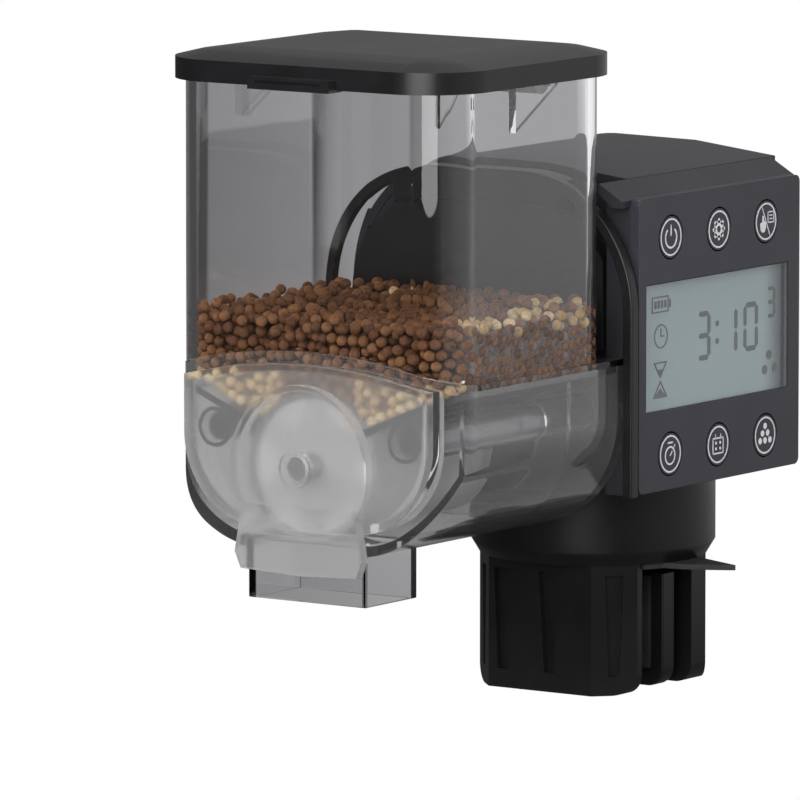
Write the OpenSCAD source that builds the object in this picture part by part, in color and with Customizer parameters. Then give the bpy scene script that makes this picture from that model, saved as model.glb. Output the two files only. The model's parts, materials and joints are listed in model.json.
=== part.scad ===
// Automatic pet feeder that clamps to the rim of an aquarium or a pen wall.
// Millimetres. Origin: centre of the swivel, on the seat that rests on the pane's top edge.
// +X is the display side, -Y is the side that dispenses, +Z is up.

/* [Hopper] */
// Width of the clear hopper box
box_w = 70; // [58:1:84]
// Depth of the hopper box, front to back
box_d = 60.5; // [50:0.5:76]
// Top edge of the hopper box above the seat
box_top = 110.4; // [100:0.1:133]
// Radius of the box's upright corners
box_corner = 10; // [7:0.5:12]
// Wall of the clear mouldings
clear_wall = 2; // [1.6:0.1:2.4]
// How far the base stands out from the box on each side
base_proud = 0.5; // [0.3:0.1:1]
// Height of the joint between box and base
joint_z = 47.6; // [45:0.1:52]
// Underside of the hopper base
base_bottom = 13; // [10:0.5:14]
// Radius of the base's lower corners
base_round = 24; // [20:0.5:26]
// Rise of the arched joint at the front
arch_rise = 5.1; // [3:0.1:7]

/* [Dosing] */
// Height of the dosing shaft
rotor_z = 30.5; // [29.5:0.5:33]
// Radius of the dosing drum
rotor_r = 13.9; // [11:0.1:13.9]
// Length of the dosing drum
rotor_len = 39; // [30:1:42]
// Width of the outlet chute
chute_w = 29.2; // [22:0.2:32]
// Depth of the outlet chute, front to back
chute_d = 18.3; // [14:0.1:24]
// Lower edge of the outlet chute
chute_bottom = 2.7; // [1:0.1:5]

/* [Guides] */
// Distance between the two support pins
pin_gap = 47; // [45:0.5:50]
// Radius of a support pin
pin_r = 3; // [2.5:0.1:3.2]
// Length of a support pin in front of the plate
pin_len = 62; // [45:1:63]
// Wall of a guide tube
guide_wall = 0.9; // [0.7:0.1:1]

/* [Lid] */
// How far the lid overhangs the box at the sides
lid_over_x = 2; // [1.6:0.1:4]
// How far the lid overhangs the box at front and back
lid_over_y = 3.6; // [2:0.1:5]
// Height of the lid's skirt
skirt_h = 4.5; // [3.5:0.1:7]
// Height of the domed top above the skirt
dome_h = 2; // [1:0.1:4]

/* [Housing] */
// Width of the housing without the panel
housing_w = 74; // [70:0.5:90]
// Back of the housing behind the swivel axis
housing_back = 24; // [22:1:36]
// Front of the main shell ahead of the swivel axis
shell_front = 33; // [30:0.5:36]
// Underside of the housing above the seat
housing_bottom = 20; // [18:0.5:24]
// Ridge of the roof above the seat
housing_top = 87.5; // [84:0.5:100]
// Radius of the large round shoulder
shoulder_r = 28; // [22:0.5:30]
// Wall of the housing shells
shell_wall = 2; // [1.6:0.1:2.6]

/* [Panel] */
// Length of the front panel
panel_l = 61.5; // [58:0.5:63]
// Height of the front panel
panel_h = 61.4; // [56:0.2:62]
// Thickness of the front panel
panel_t = 2.3; // [1.8:0.1:3]
// Length of the display window
window_l = 54.4; // [44:0.2:56]
// Height of the display window
window_h = 26.6; // [22:0.2:28.4]
// Radius of a key cap
key_r = 4.35; // [3.6:0.05:4.8]
// Distance between keys in a row
key_pitch = 18.2; // [14:0.1:19]
// Travel of a key
key_travel = 0.5; // [0.3:0.1:0.8]

/* [Drive] */
// Teeth of the drive gear
gear_teeth = 18; // [16:2:18]
// Teeth of the motor pinion
pinion_teeth = 12; // [10:2:14]
// Gear module
gear_module = 0.8; // [0.7:0.05:0.8]
// Radius of the drive shaft
shaft_r = 2; // [1.5:0.1:2.5]
// Radius of the motor can
motor_r = 9.5; // [7:0.5:9.5]

/* [Clamp] */
// Radius of the swivel turret
turret_r = 25.9; // [25:0.1:32]
// Width across a clamp leg
leg_w = 40; // [34:1:42]
// Length of the clamp legs below the seat
leg_h = 26.5; // [24:0.5:40]
// Thickness of the front leg
leg_t = 8.8; // [7:0.1:10]
// Clear gap between the two legs
leg_gap = 19; // [17:0.5:24]
// Thickness of the sliding clamp plate
plate_t = 4.5; // [3.5:0.1:5]
// Radius of the clamp screw
screw_r = 3; // [2.5:0.1:3.5]

/* [Hidden] */
$fn = 64;
eps = 0.02;

fit = 0.05;          // radial running clearance of a shaft in its bore
gap = 0.3;           // clearance between pieces that slide past each other
seam = 0.15;         // clearance between pieces that are fixed together

// hopper places, measured from the swivel axis
base_rear_y = -41.2;
box_rear_y = -44.8;
box_front_y = box_rear_y - box_d;
base_w = box_w + 2 * base_proud;
ledge_t = 1.3;
ledge_proud = 0.5;
arch_r = (pow(base_w / 2, 2) + pow(arch_rise, 2)) / (2 * arch_rise);
arch_cz = joint_z + ledge_t + arch_rise - arch_r;
cover_inset = 5.5;
cover_low = 4.5;
cover_t = 1.8;
cover_flange = 6.5;
cover_proud = 1;
cover_front_y = box_front_y - cover_proud;
bulge_t = 2.2;
bulge_front_y = cover_front_y - bulge_t;
dome_r = rotor_r + 3.1;
tongue_bottom = 8.5;
hub_r = 3.8;
hub_len = 1.5;

// dosing drum and cup
cup_gap = 0.3;
cup_wall = 1;
cup_in_r = rotor_r + cup_gap;
cup_r = cup_in_r + cup_wall;
cup_front_y = box_front_y + clear_wall + seam;
rotor_front_y = cup_front_y + 0.6;
rotor_rear_y = rotor_front_y + rotor_len;
bulkhead_y = rotor_rear_y + 1.8;
bulkhead_t = 1.5;
cup_rear_y = bulkhead_y - seam;
spindle_r = 2.5;
socket_r = 6;
socket_len = bulkhead_t + 3.3;
socket_rear_y = rotor_rear_y + socket_len;
dog_r = 3.6;
dog_w = 2.4;
dog_len = 4;
nose_r = rotor_r - 0.9;
nose_front_y = socket_rear_y + 1;
scoops = 6;
scoop_r = 4.2;

// funnel under the food
funnel_t = 1.4;
funnel_top_z = joint_z - 0.2;
funnel_in_x = cup_r - 2.3;
funnel_in_z = rotor_z + sqrt(pow(cup_r, 2) - pow(funnel_in_x, 2)) + 0.35;
funnel_low_x = sqrt(pow(cup_r + 0.25, 2) - pow(funnel_in_z - funnel_t - rotor_z, 2));
base_in_x = base_w / 2 - clear_wall;

// guides
pin_x = pin_gap / 2;
guide_in_r = pin_r + gap;
guide_r = guide_in_r + guide_wall;
funnel_slope = atan2(funnel_top_z - funnel_in_z, base_in_x - seam - funnel_low_x);
funnel_over_pin = funnel_in_z - funnel_t + tan(funnel_slope) * (pin_x - funnel_low_x);
pin_z = min(37, funnel_over_pin - (guide_r + 0.12) / cos(funnel_slope));
guide_front_y = cover_front_y + cover_t + 0.5;

// lid and its hinge
lid_gap = 0.3;
skirt_bottom = box_top - 2.3;
lid_corner = box_corner + 4;
lid_w = box_w + 2 * lid_over_x;
lid_d = box_d + 2 * lid_over_y;
box_mid_y = (box_front_y + box_rear_y) / 2;
hinge_y = box_rear_y + 11.8;
hinge_z = box_top - 5.9;
hinge_pin_r = 1.2;
gusset_x = 8.8;
gusset_t = 1.8;
gusset_top = skirt_bottom - 0.7;
gusset_low = box_top - 16.4;
knuckle_r = 3;
knuckle_w = 2 * (gusset_x - gusset_t / 2 - 0.7);
gasket_h = 1.6;
tab_w = 20;
tab_h = 2.5;
tab_out = 3;

// housing
half_w = housing_w / 2 + 1;
seam_x = half_w - 8;
side_x = half_w - 2;
shoulder_x = -half_w + shoulder_r;
shoulder_z = housing_top - shoulder_r;
seam_z = housing_top - 2.5;
side_top_z = housing_top - 6;
collar_front_y = -44.3;
collar_t = 2.3;
collar_depth = 2.6;
collar_gap = 0.5;
collar_x = base_w / 2 + ledge_proud + collar_gap + collar_t;
collar_top = housing_top - 1;
plate_inset = 6.5;
collar_link = 40;
plate_front_y = -41.8;
plate_low_y = base_rear_y + 1.2;
plate_back_y = -38.4;
neck_inset = max(9, collar_x - half_w + shell_wall + 1);
neck_low = housing_bottom + shell_wall + seam;
front_wall_y = -shell_front;
post_r = 3.4;
case_screw_r = 1.3;
POSTS = [[6.5 - half_w, housing_bottom + 5.5], [seam_x - 6, housing_bottom + 5.5],
         [19 - half_w, housing_top - 9], [seam_x - 6, housing_top - 9.5]];

// panel
panel_front_y = -40.8;
panel_y = panel_front_y + panel_l / 2;
panel_z = housing_bottom + 0.4 + panel_h / 2;
panel_out = side_x + panel_t;
window_y = -10.8;
window_z = 50.4;
key_mid_y = -10.7;
key_rise = 22.6;
key_gap = 0.3;
flange_r = key_r + 1.2;
flange_t = 2;
frame_t = 2;
key_back_x = side_x - frame_t - key_gap - flange_t;
key_spare = 0.7;     // room left behind a key that is pressed in
mat_t = 0.8;
mat_x = key_back_x - key_travel - key_spare - mat_t;
mat_gap = 0.1;
board_t = 1.6;
board_x = mat_x - mat_gap - board_t;
board_y = -shell_front + shell_wall + 1;
board_l = panel_front_y + panel_l - 3.5 - board_y;
mat_half = 5.4;
panel_rear_y = panel_front_y + panel_l + 1.3;

// drive train
centre_distance = gear_module * (gear_teeth + pinion_teeth) / 2;
motor_z = rotor_z + centre_distance;
gear_y = front_wall_y + 3;
gear_t = 4;
bracket_y = gear_y + gear_t + 1.5;
bracket_t = 1.3;
motor_y = bracket_y + bracket_t;
motor_len = 30;
motor_shaft_r = 1.5;

// batteries
cell_r = 7.2;
cell_len = 49.2;
cell_x = -27;
cell_z = housing_bottom + 18;
cell_pitch = 16;
cell_y = -29.1;
door_y0 = -27;
door_y1 = 18;
door_z0 = housing_bottom + 10;
door_z1 = shoulder_z - 1.5;

// clamp
pad_t = 1.2;
turret_top = housing_bottom - gap;
spigot_r = 12;
washer_r = 14.5;
front_leg_y = -11.5;
front_leg_face = front_leg_y - leg_t;
rear_leg_y = front_leg_y + leg_gap;
rear_leg_t = 12.5;
rear_leg_face = rear_leg_y + rear_leg_t;
leg_chamfer = 7;
leg_round = 4;
groove_depth = 1.5;
screw_z = -leg_h / 2 - 1;
plate_w = leg_w - 3.2;
plate_front = rear_leg_y - 4 - plate_t;
plate_drop = 2.2;     // from the seat down to the plate's top edge
knob_r = 7.5;
knob_t = 7;
knob_y = rear_leg_y + 9;
nut_t = 4;
nut_across = 12;
closing = 4;          // how far the plate closes from rest
jaw_pad_t = 1;

// ---------- shared shapes ----------

// a rod along +Y from y0 to y1
module rod_y(r, y0, y1, x = 0, z = 0) {
    translate([x, y0, z]) rotate([-90, 0, 0]) cylinder(r = r, h = y1 - y0);
}

// a rod along +X from x0 to x1
module rod_x(r, x0, x1, y = 0, z = 0) {
    translate([x0, y, z]) rotate([0, 90, 0]) cylinder(r = r, h = x1 - x0);
}

// an outline drawn in X and Z, drawn out along Y from y0 to y1
module along_y(y0, y1) {
    translate([0, y1, 0]) rotate([90, 0, 0]) linear_extrude(y1 - y0) children();
}

// a rectangle w by d with round corners, centred
module round_rect(w, d, r) {
    square([w - 2 * r, d], center = true);
    square([w, d - 2 * r], center = true);
    for (x = [-1, 1], y = [-1, 1]) translate([x * (w / 2 - r), y * (d / 2 - r)]) circle(r);
}

// the box's outline from above, drawn in by d
module box_plan(d = 0) {
    translate([0, box_mid_y]) round_rect(box_w - 2 * d, box_d - 2 * d, box_corner - d);
}

// the base's outline from above: round at the front, square at the back, drawn in by d
module base_plan(d = 0) {
    w = base_w - 2 * d;
    r = box_corner + base_proud - d;
    front = box_front_y + d;
    rear = base_rear_y - d;
    for (x = [-1, 1]) translate([x * (w / 2 - r), front + r]) circle(r);
    translate([-w / 2 + r, front]) square([w - 2 * r, rear - front]);
    translate([-w / 2, front + r]) square([w, rear - front - r]);
}

// a trough's cross-section: round lower corners, w wide, from z0 up to z1
module trough(w, z0, z1, r) {
    intersection() {
        union() {
            for (x = [-1, 1]) translate([x * (w / 2 - r), z0 + r]) circle(r);
            translate([-w / 2 + r, z0]) square([w - 2 * r, z1 - z0]);
            translate([-w / 2, z0 + r]) square([w, 100]);
        }
        translate([-w / 2, z0]) square([w, z1 - z0]);
    }
}

// the housing's cross-section, drawn in by d
module housing_outline(d = 0) {
    w = half_w - d;
    r = shoulder_r - d;
    side = side_x - d;
    low = housing_bottom + d;
    translate([shoulder_x, shoulder_z]) circle(r);
    translate([-w, low]) square([w + side, shoulder_z - low]);
    polygon([
        [shoulder_x, shoulder_z - 1], [side, shoulder_z - 1], [side, side_top_z - d],
        [seam_x, seam_z - d], [shoulder_x + 20, housing_top - 0.3 - d], [shoulder_x, housing_top - d]
    ]);
}

// the collar's arch, drawn in by d, from z_low up
module arch_outline(d = 0, z_low = housing_bottom) {
    w = collar_x - d;
    r = shoulder_r - d;
    cx = collar_x - shoulder_r;
    cz = collar_top - shoulder_r;
    for (x = [-1, 1]) translate([x * cx, cz]) circle(r);
    translate([-w, z_low]) square([2 * w, cz - z_low]);
    translate([-cx, cz - 1]) square([2 * cx, collar_top - d - cz + 1]);
}

// a straight-sided gear in X and Z with a tooth pointing down
function gear_points(teeth, m, slim) = [
    for (i = [0 : teeth - 1], k = [0 : 3])
        let (a = -90 + 360 / teeth * (i + [-0.30, -0.13, 0.13, 0.30][k] * slim),
             r = m * (teeth / 2 + [-1.2, 0.9, 0.9, -1.2][k]))
        [r * cos(a), r * sin(a)]
];

// ---------- clamp ----------

// a leg's outline from above; side is -1 for the front leg and 1 for the rear leg
module leg_plan(inner, outer, side) {
    w = leg_w / 2;
    polygon([
        [-w, inner], [w, inner], [w, outer - side * leg_chamfer], [w - leg_chamfer, outer],
        [-w + leg_chamfer, outer], [-w, outer - side * leg_chamfer]
    ]);
}

// a leg from the front: its two lower corners are round
module leg_face(w) {
    translate([-w / 2, leg_round - leg_h]) square([w, leg_h - leg_round + pad_t + 1]);
    translate([leg_round - w / 2, -leg_h]) square([w - 2 * leg_round, leg_round + 1]);
    for (s = [-1, 1]) translate([s * (w / 2 - leg_round), leg_round - leg_h]) circle(leg_round);
}

// upright groove that narrows downwards; top and low are its half widths
module leg_groove(top, low) along_y(-1, groove_depth)
    polygon([[-top, -1], [top, -1], [low, 4 - leg_h], [-low, 4 - leg_h]]);

// turret with both clamp legs, cored from above
module clamp_base() color("#17171a") {
    difference() {
        union() {
            rotate_extrude($fn = 128) polygon([
                [0, pad_t], [turret_r - 1.8, pad_t], [turret_r, pad_t + 3], [turret_r, turret_top], [0, turret_top]
            ]);
            intersection() {
                translate([0, 0, -leg_h]) linear_extrude(leg_h + pad_t + eps) {
                    leg_plan(front_leg_y, front_leg_face, -1);
                    leg_plan(rear_leg_y, rear_leg_face, 1);
                }
                along_y(front_leg_face, rear_leg_face) leg_face(leg_w);
            }
        }
        translate([0, 0, -1]) cylinder(r = spigot_r + fit, h = turret_top + 2);
        translate([0, 0, pad_t - eps]) cylinder(r = washer_r + 0.8, h = 6 - pad_t);
        difference() {
            translate([0, 0, 5]) cylinder(r = turret_r - 2.5, h = turret_top);
            translate([0, 0, 4]) cylinder(r = spigot_r + 3.5, h = turret_top);
        }
        translate([-9.3, front_leg_face, 0]) leg_groove(2.3, 1.4);
        translate([2.3, front_leg_face, 0]) leg_groove(2.6, 1.2);
        for (side = [-1, 1])
            translate([side * (leg_w / 2 - leg_chamfer / 2), front_leg_face + leg_chamfer / 2, 0])
                rotate([0, 0, side * 45]) leg_groove(2, 1.2);
        rod_y(screw_r + fit, rear_leg_y - 1, rear_leg_face + 1, 0, screw_z);
        translate([0, rear_leg_y + nut_t / 2 + 0.5, screw_z])
            cube([nut_across + 2 * seam, nut_t + 2 * seam, nut_across + 2 * seam], center = true);
        rod_y(knob_r + 0.8, knob_y - closing - gap, rear_leg_face + 1, 0, screw_z);
    }
}

// soft pad between turret and pane, with a pull tab at the display side
module seat_pad() color("#3a3a3f") {
    difference() {
        union() {
            cylinder(r = turret_r - 2.2, h = pad_t - eps, $fn = 128);
            linear_extrude(pad_t - eps) polygon([[20, -8], [turret_r + 3, -6], [turret_r + 11, -1.5], [22, 5]]);
        }
        translate([0, 0, -1]) linear_extrude(pad_t + 2) {
            translate([-leg_w, front_leg_face - 10]) square([2 * leg_w, leg_t + 10 + seam]);
            translate([-leg_w, rear_leg_y - seam]) square([2 * leg_w, 40]);
        }
    }
}

module jaw_pad(y) {
    translate([-leg_w / 2 + 4, y, -leg_h + 4]) cube([leg_w - 8, jaw_pad_t, leg_h - 7]);
}

module front_jaw_pad() color("#2c2c30") jaw_pad(front_leg_y);

module clamp_nut() color("#b8a05a") difference() {
    translate([0, rear_leg_y + nut_t / 2 + 0.5, screw_z]) cube([nut_across, nut_t, nut_across], center = true);
    rod_y(screw_r + fit, rear_leg_y - 1, rear_leg_face, 0, screw_z);
}

module swivel_washer() color("silver") difference() {
    translate([0, 0, 3.8]) cylinder(r = washer_r, h = 2);
    translate([0, 0, 3]) cylinder(r = 2 + seam, h = 4);
}

module swivel_screw() color("silver") {
    translate([0, 0, 1.9]) cylinder(r = 4, h = 1.85);
    translate([0, 0, 2.2]) cylinder(r = 2, h = 11);
}

// plate that the screw pushes against the pane
module clamp_plate() color("#17171a") difference() {
    intersection() {
        translate([-plate_w / 2, plate_front, -leg_h]) cube([plate_w, plate_t, leg_h - plate_drop]);
        along_y(plate_front - 1, plate_front + plate_t + 1) leg_face(plate_w);
    }
    rod_y(screw_r - 0.5 + fit, plate_front + 1.5, plate_front + plate_t + 1, 0, screw_z);
}

module clamp_plate_pad() color("#2c2c30")
    translate([-plate_w / 2 + 3, plate_front - jaw_pad_t, -leg_h + 4]) cube([plate_w - 6, jaw_pad_t, leg_h - 7]);

// thumb screw: tip, shank and fluted knob
module clamp_screw() color("#17171a") {
    rod_y(screw_r - 0.5, plate_front + 1.7, plate_front + plate_t + 1, 0, screw_z);
    rod_y(screw_r, plate_front + plate_t + 0.3, knob_y + 1, 0, screw_z);
    difference() {
        rod_y(knob_r, knob_y, knob_y + knob_t, 0, screw_z);
        for (i = [0 : 11]) rod_y(1, knob_y - 1, knob_y + knob_t + 1,
            (knob_r + 0.3) * cos(i * 30), screw_z + (knob_r + 0.3) * sin(i * 30));
        translate([-1, knob_y + knob_t - 2, screw_z - knob_r + 2]) cube([2, 3, 2 * knob_r - 4]);
    }
}

// ---------- housing ----------

// main shell: arch-shaped casing, open to the front and to the display side
module main_shell() color("#2b2b30") {
    difference() {
        along_y(front_wall_y, housing_back) housing_outline();
        along_y(front_wall_y - 1, housing_back - shell_wall) housing_outline(shell_wall);
        translate([seam_x, front_wall_y - 1, 0]) cube([40, housing_back + shell_front + 2, 120]);
        translate([-half_w - 1, door_y0 - gap, door_z0 - gap])
            cube([shell_wall + 2, door_y1 - door_y0 + 2 * gap, door_z1 - door_z0 + 2 * gap]);
        for (p = POSTS) {
            rod_y(case_screw_r + seam, housing_back - 5, housing_back + 1, p[0], p[1]);
            rod_y(2.9 + seam, housing_back - 1.3, housing_back + 1, p[0], p[1]);
        }
    }
    difference() {
        translate([0, 0, 6]) cylinder(r = spigot_r, h = housing_bottom - 5);
        translate([0, 0, 5]) cylinder(r = 2 + fit, h = 9);
    }
}

// frame behind the panel: shoulder strip, side wall and returns
module panel_frame() color("#2b2b30") {
    inner_x = seam_x + seam;
    difference() {
        union() {
            intersection() {
                difference() {
                    along_y(collar_front_y + 0.5, panel_rear_y) housing_outline();
                    along_y(collar_front_y, panel_rear_y + 1) housing_outline(frame_t);
                    along_y(collar_front_y, plate_back_y + gap) arch_outline(-gap);
                }
                translate([inner_x, collar_front_y, side_top_z - 1.5]) cube([20, 90, 20]);
            }
            difference() {
                intersection() {
                    along_y(panel_front_y, panel_rear_y) housing_outline();
                    translate([inner_x, panel_front_y, 0]) cube([20, 90, 120]);
                }
                intersection() {
                    along_y(panel_front_y + frame_t, panel_rear_y - frame_t) housing_outline(frame_t);
                    translate([inner_x - 1, panel_front_y, 0]) cube([side_x - inner_x - 1, 90, 120]);
                }
            }
        }
        translate([side_x - 3, window_y - window_l / 2 - 1, window_z - window_h / 2 - 1])
            cube([4, window_l + 2, window_h + 2]);
        for (i = [-1, 0, 1], s = [-1, 1])
            rod_x(key_r + key_gap + 0.2, side_x - 3, side_x + 1, key_mid_y + i * key_pitch, window_z + s * key_rise);
    }
}

// printed front panel with the display window and six key holes
module panel_face() color("#3c3a46") difference() {
    translate([side_x, panel_y, panel_z]) rotate([90, 0, 90]) linear_extrude(panel_t)
        round_rect(panel_l, panel_h, 1.5);
    translate([side_x - 1, window_y - window_l / 2, window_z - window_h / 2]) cube([5, window_l, window_h]);
    for (i = [-1, 0, 1], s = [-1, 1])
        rod_x(key_r + key_gap, side_x - 1, panel_out + 1, key_mid_y + i * key_pitch, window_z + s * key_rise);
}

module display_lens() color("#a9bcbc") translate([side_x + 0.4, window_y, window_z])
    translate([0, -window_l / 2 + seam, -window_h / 2 + seam])
        cube([panel_t - 0.7, window_l - 2 * seam, window_h - 2 * seam]);

module display_module() color("#82949a") translate([side_x - 4, window_y, window_z])
    translate([0, -window_l / 2 - 0.7, -window_h / 2 - 0.7]) cube([3.9, window_l + 1.4, window_h + 1.4]);

module control_board() color("#2f6b3f") difference() {
    translate([board_x, board_y, housing_bottom + 4])
        cube([board_t, board_l, side_top_z - housing_bottom - 8]);
    for (y = [board_y + 4, board_y + board_l - 4])
        rod_x(1.4, board_x - 1, board_x + board_t + 1, y, housing_bottom + 4.6 + 5);
}

// one soft mat under the six keys, in two strips
module key_mat() color("#b9b9bd") for (s = [-1, 1])
    translate([mat_x, key_mid_y - key_pitch - mat_half, window_z + s * key_rise - mat_half])
        cube([mat_t, 2 * (key_pitch + mat_half), 2 * mat_half]);

// a round key: flange behind the frame and a cap that ends level with the panel
module key_cap(i, s) color("#34323d") {
    y = key_mid_y + i * key_pitch;
    z = window_z + s * key_rise;
    rod_x(flange_r, key_back_x, key_back_x + flange_t, y, z);
    rod_x(key_r, key_back_x + flange_t - eps, panel_out, y, z);
}

module key_power() key_cap(-1, 1);
module key_settings() key_cap(0, 1);
module key_manual() key_cap(1, 1);
module key_timer() key_cap(-1, -1);
module key_schedule() key_cap(0, -1);
module key_portion() key_cap(1, -1);

// inside of the neck between the collar and the shell
module neck_hollow() intersection() {
    arch_outline(neck_inset + 2, neck_low + 2);
    translate([-60, neck_low + 2]) square([60 + seam_x - 2.6, 90]);
}

// arched collar around the hopper's back, with the band down its left side
module hopper_collar() color("#1d1d20") {
    along_y(collar_front_y, collar_front_y + collar_depth) difference() {
        arch_outline();
        arch_outline(collar_t, housing_bottom - 5);
    }
    along_y(collar_front_y, plate_back_y) difference() {
        intersection() {
            arch_outline();
            translate([-collar_link / 2, collar_top - 9]) square([collar_link, 12]);
        }
        arch_outline(plate_inset, housing_bottom);
    }
    translate([-collar_x, collar_front_y, housing_bottom])
        cube([collar_t, plate_back_y - collar_front_y, joint_z - housing_bottom]);
}

// front plate: the arched plate behind the hopper and the low plate behind its base
module front_plate() color("#1d1d20") difference() {
    union() {
        along_y(plate_front_y, plate_back_y) intersection() {
            arch_outline(plate_inset, housing_bottom);
            translate([-60, joint_z + 2.4]) square([60 + seam_x - 0.2, 60]);
        }
        along_y(plate_low_y, plate_back_y) intersection() {
            arch_outline(collar_t);
            translate([-60, housing_bottom]) square([60 + seam_x - 0.2, joint_z + 2.5 - housing_bottom]);
        }
    }
    plate_holes();
}

// holes for the drive nose and the support pins
module plate_holes() {
    rod_y(nose_r - 3, collar_front_y - 1, plate_back_y + 2, 0, rotor_z);
    for (s = [-1, 1]) rod_y(pin_r - 0.5 + seam, collar_front_y - 1, plate_back_y + 2, s * pin_x, pin_z);
}

// front casing: neck behind the plate, the shell's front wall and the screw posts
module front_casing() color("#2b2b30") {
    difference() {
        along_y(plate_back_y, front_wall_y + 0.1) intersection() {
            arch_outline(neck_inset, neck_low);
            translate([-60, neck_low]) square([60 + seam_x - 0.6, 90]);
        }
        along_y(plate_back_y + 1, front_wall_y + 3) neck_hollow();
        plate_holes();
    }
    difference() {
        along_y(front_wall_y, front_wall_y + shell_wall) intersection() {
            housing_outline(shell_wall + seam);
            translate([-60, 0]) square([60 + seam_x - 0.6, 120]);
        }
        along_y(front_wall_y - 1, front_wall_y + 3) neck_hollow();
    }
    for (p = POSTS) difference() {
        rod_y(post_r, front_wall_y + 0.5, housing_back - shell_wall - seam, p[0], p[1]);
        rod_y(case_screw_r + fit, housing_back - 16, housing_back, p[0], p[1]);
    }
}

// tube that carries the drive shaft into the hopper's rear chamber
module drive_nose() color("#1d1d20") difference() {
    union() {
        rod_y(nose_r, nose_front_y, plate_low_y - eps, 0, rotor_z);
        rod_y(nose_r - 3 - seam, plate_low_y - 1, plate_back_y + 1, 0, rotor_z);
    }
    rod_y(nose_r - 5, nose_front_y + 2, plate_back_y + 2, 0, rotor_z);
    rod_y(4.5, nose_front_y - 1, nose_front_y + 3, 0, rotor_z);
}

// two pins that the hopper's guide tubes slide onto
module support_pins() color("#1d1d20") for (s = [-1, 1]) {
    rod_y(pin_r, plate_low_y - pin_len, plate_low_y - eps, s * pin_x, pin_z);
    rod_y(pin_r - 0.5, plate_low_y - 1, plate_back_y + 0.5, s * pin_x, pin_z);
}

module motor() color("#9fa3a8") difference() {
    union() {
        rod_y(motor_r, motor_y + seam, motor_y + motor_len, 0, motor_z);
        rod_y(3.2, motor_y + motor_len - 1, motor_y + motor_len + 2, 0, motor_z);
    }
    rod_y(motor_shaft_r + fit, motor_y - 1, motor_y + 5, 0, motor_z);
}

// plate that carries the motor and the shaft's rear end
module motor_bracket() color("#d8d8d2") difference() {
    union() {
        translate([-12, bracket_y, rotor_z - 7]) cube([24, bracket_t, motor_z - rotor_z + 19]);
        for (s = [-1, 1]) {
            translate([s * 14.5 - 3.5, bracket_y, motor_z + 2]) cube([7, bracket_t, 8]);
            rod_y(2, front_wall_y + shell_wall + seam, bracket_y + 1, s * 15.5, motor_z + 6);
        }
    }
    rod_y(motor_shaft_r + 1, bracket_y - 1, motor_y + 1, 0, motor_z);
    rod_y(shaft_r + fit, bracket_y - 1, motor_y + 1, 0, rotor_z);
}

module shaft_bush() color("#c8a860") difference() {
    union() {
        rod_y(4.5 - seam, nose_front_y + 0.2, nose_front_y + 3, 0, rotor_z);
        rod_y(5.6, nose_front_y + 2.1, nose_front_y + 4, 0, rotor_z);
    }
    rod_y(shaft_r + fit, nose_front_y - 1, nose_front_y + 5, 0, rotor_z);
}

// shaft with the cross-shaped dog that turns the dosing drum
module drive_shaft() color("silver") {
    rod_y(shaft_r, nose_front_y - 0.6, motor_y + 0.3, 0, rotor_z);
    translate([0, nose_front_y - 0.5 - dog_len / 2, rotor_z]) intersection() {
        for (a = [0, 90]) rotate([0, a, 0]) cube([2 * dog_r, dog_len, dog_w], center = true);
        rotate([90, 0, 0]) cylinder(r = dog_r, h = dog_len, center = true);
    }
}

module drive_gear() color("#e6e2d6") difference() {
    union() {
        translate([0, gear_y + gear_t, rotor_z]) rotate([90, 0, 0]) linear_extrude(gear_t)
            rotate(180 / gear_teeth) polygon(gear_points(gear_teeth, gear_module, 0.92));
        rod_y(4.5, gear_y - 0.5, gear_y + gear_t + 0.5, 0, rotor_z);
    }
    rod_y(shaft_r + 0.02, gear_y - 2, gear_y + gear_t + 2, 0, rotor_z);
}

module motor_pinion() color("#c8a860") {
    translate([0, gear_y + gear_t, motor_z]) rotate([90, 0, 0]) linear_extrude(gear_t)
        polygon(gear_points(pinion_teeth, gear_module, 0.92));
    rod_y(motor_shaft_r, gear_y - 0.8, motor_y + 4, 0, motor_z);
}

module battery_tray() color("#1d1d20") difference() {
    translate([-half_w + shell_wall + 1.2, cell_y - 1.2, cell_z - cell_r - 1.4])
        cube([cell_x + cell_r + half_w - shell_wall - 0.2, cell_len + 2.4, cell_pitch + 2 * cell_r + 2.8]);
    for (k = [0, 1]) {
        rod_y(cell_r + gap, cell_y - 0.2, cell_y + cell_len + 0.2, cell_x, cell_z + k * cell_pitch);
        translate([-half_w, cell_y - 0.2, cell_z + k * cell_pitch - cell_r - gap])
            cube([half_w + cell_x, cell_len + 0.4, 2 * (cell_r + gap)]);
    }
}

module battery_cells() color("#4a6a8a") for (k = [0, 1]) {
    rod_y(cell_r, cell_y + 1.4, cell_y + cell_len - 1.6, cell_x, cell_z + k * cell_pitch);
    rod_y(2.6, cell_y + (k == 0 ? 0.5 : 10), cell_y + cell_len - (k == 0 ? 10 : 0.5), cell_x, cell_z + k * cell_pitch);
}

module battery_contacts() color("silver") for (k = [0, 1], e = [0, 1])
    translate([cell_x - 5, cell_y + e * (cell_len - 0.4) - 0.1 + e * 0.2, cell_z + k * cell_pitch - 5])
        cube([10, 0.4, 10]);

module battery_springs() color("silver") for (k = [0, 1]) {
    y = k == 0 ? cell_y + cell_len - 0.5 : cell_y + 0.5;
    dir = k == 0 ? -1 : 1;
    for (i = [0 : 1]) translate([cell_x, y + dir * (0.22 + i * 0.4), cell_z + k * cell_pitch])
        rotate([90, 0, 0]) rotate_extrude() translate([4.2 - i * 0.2, 0]) circle(0.24, $fn = 16);
}

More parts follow.
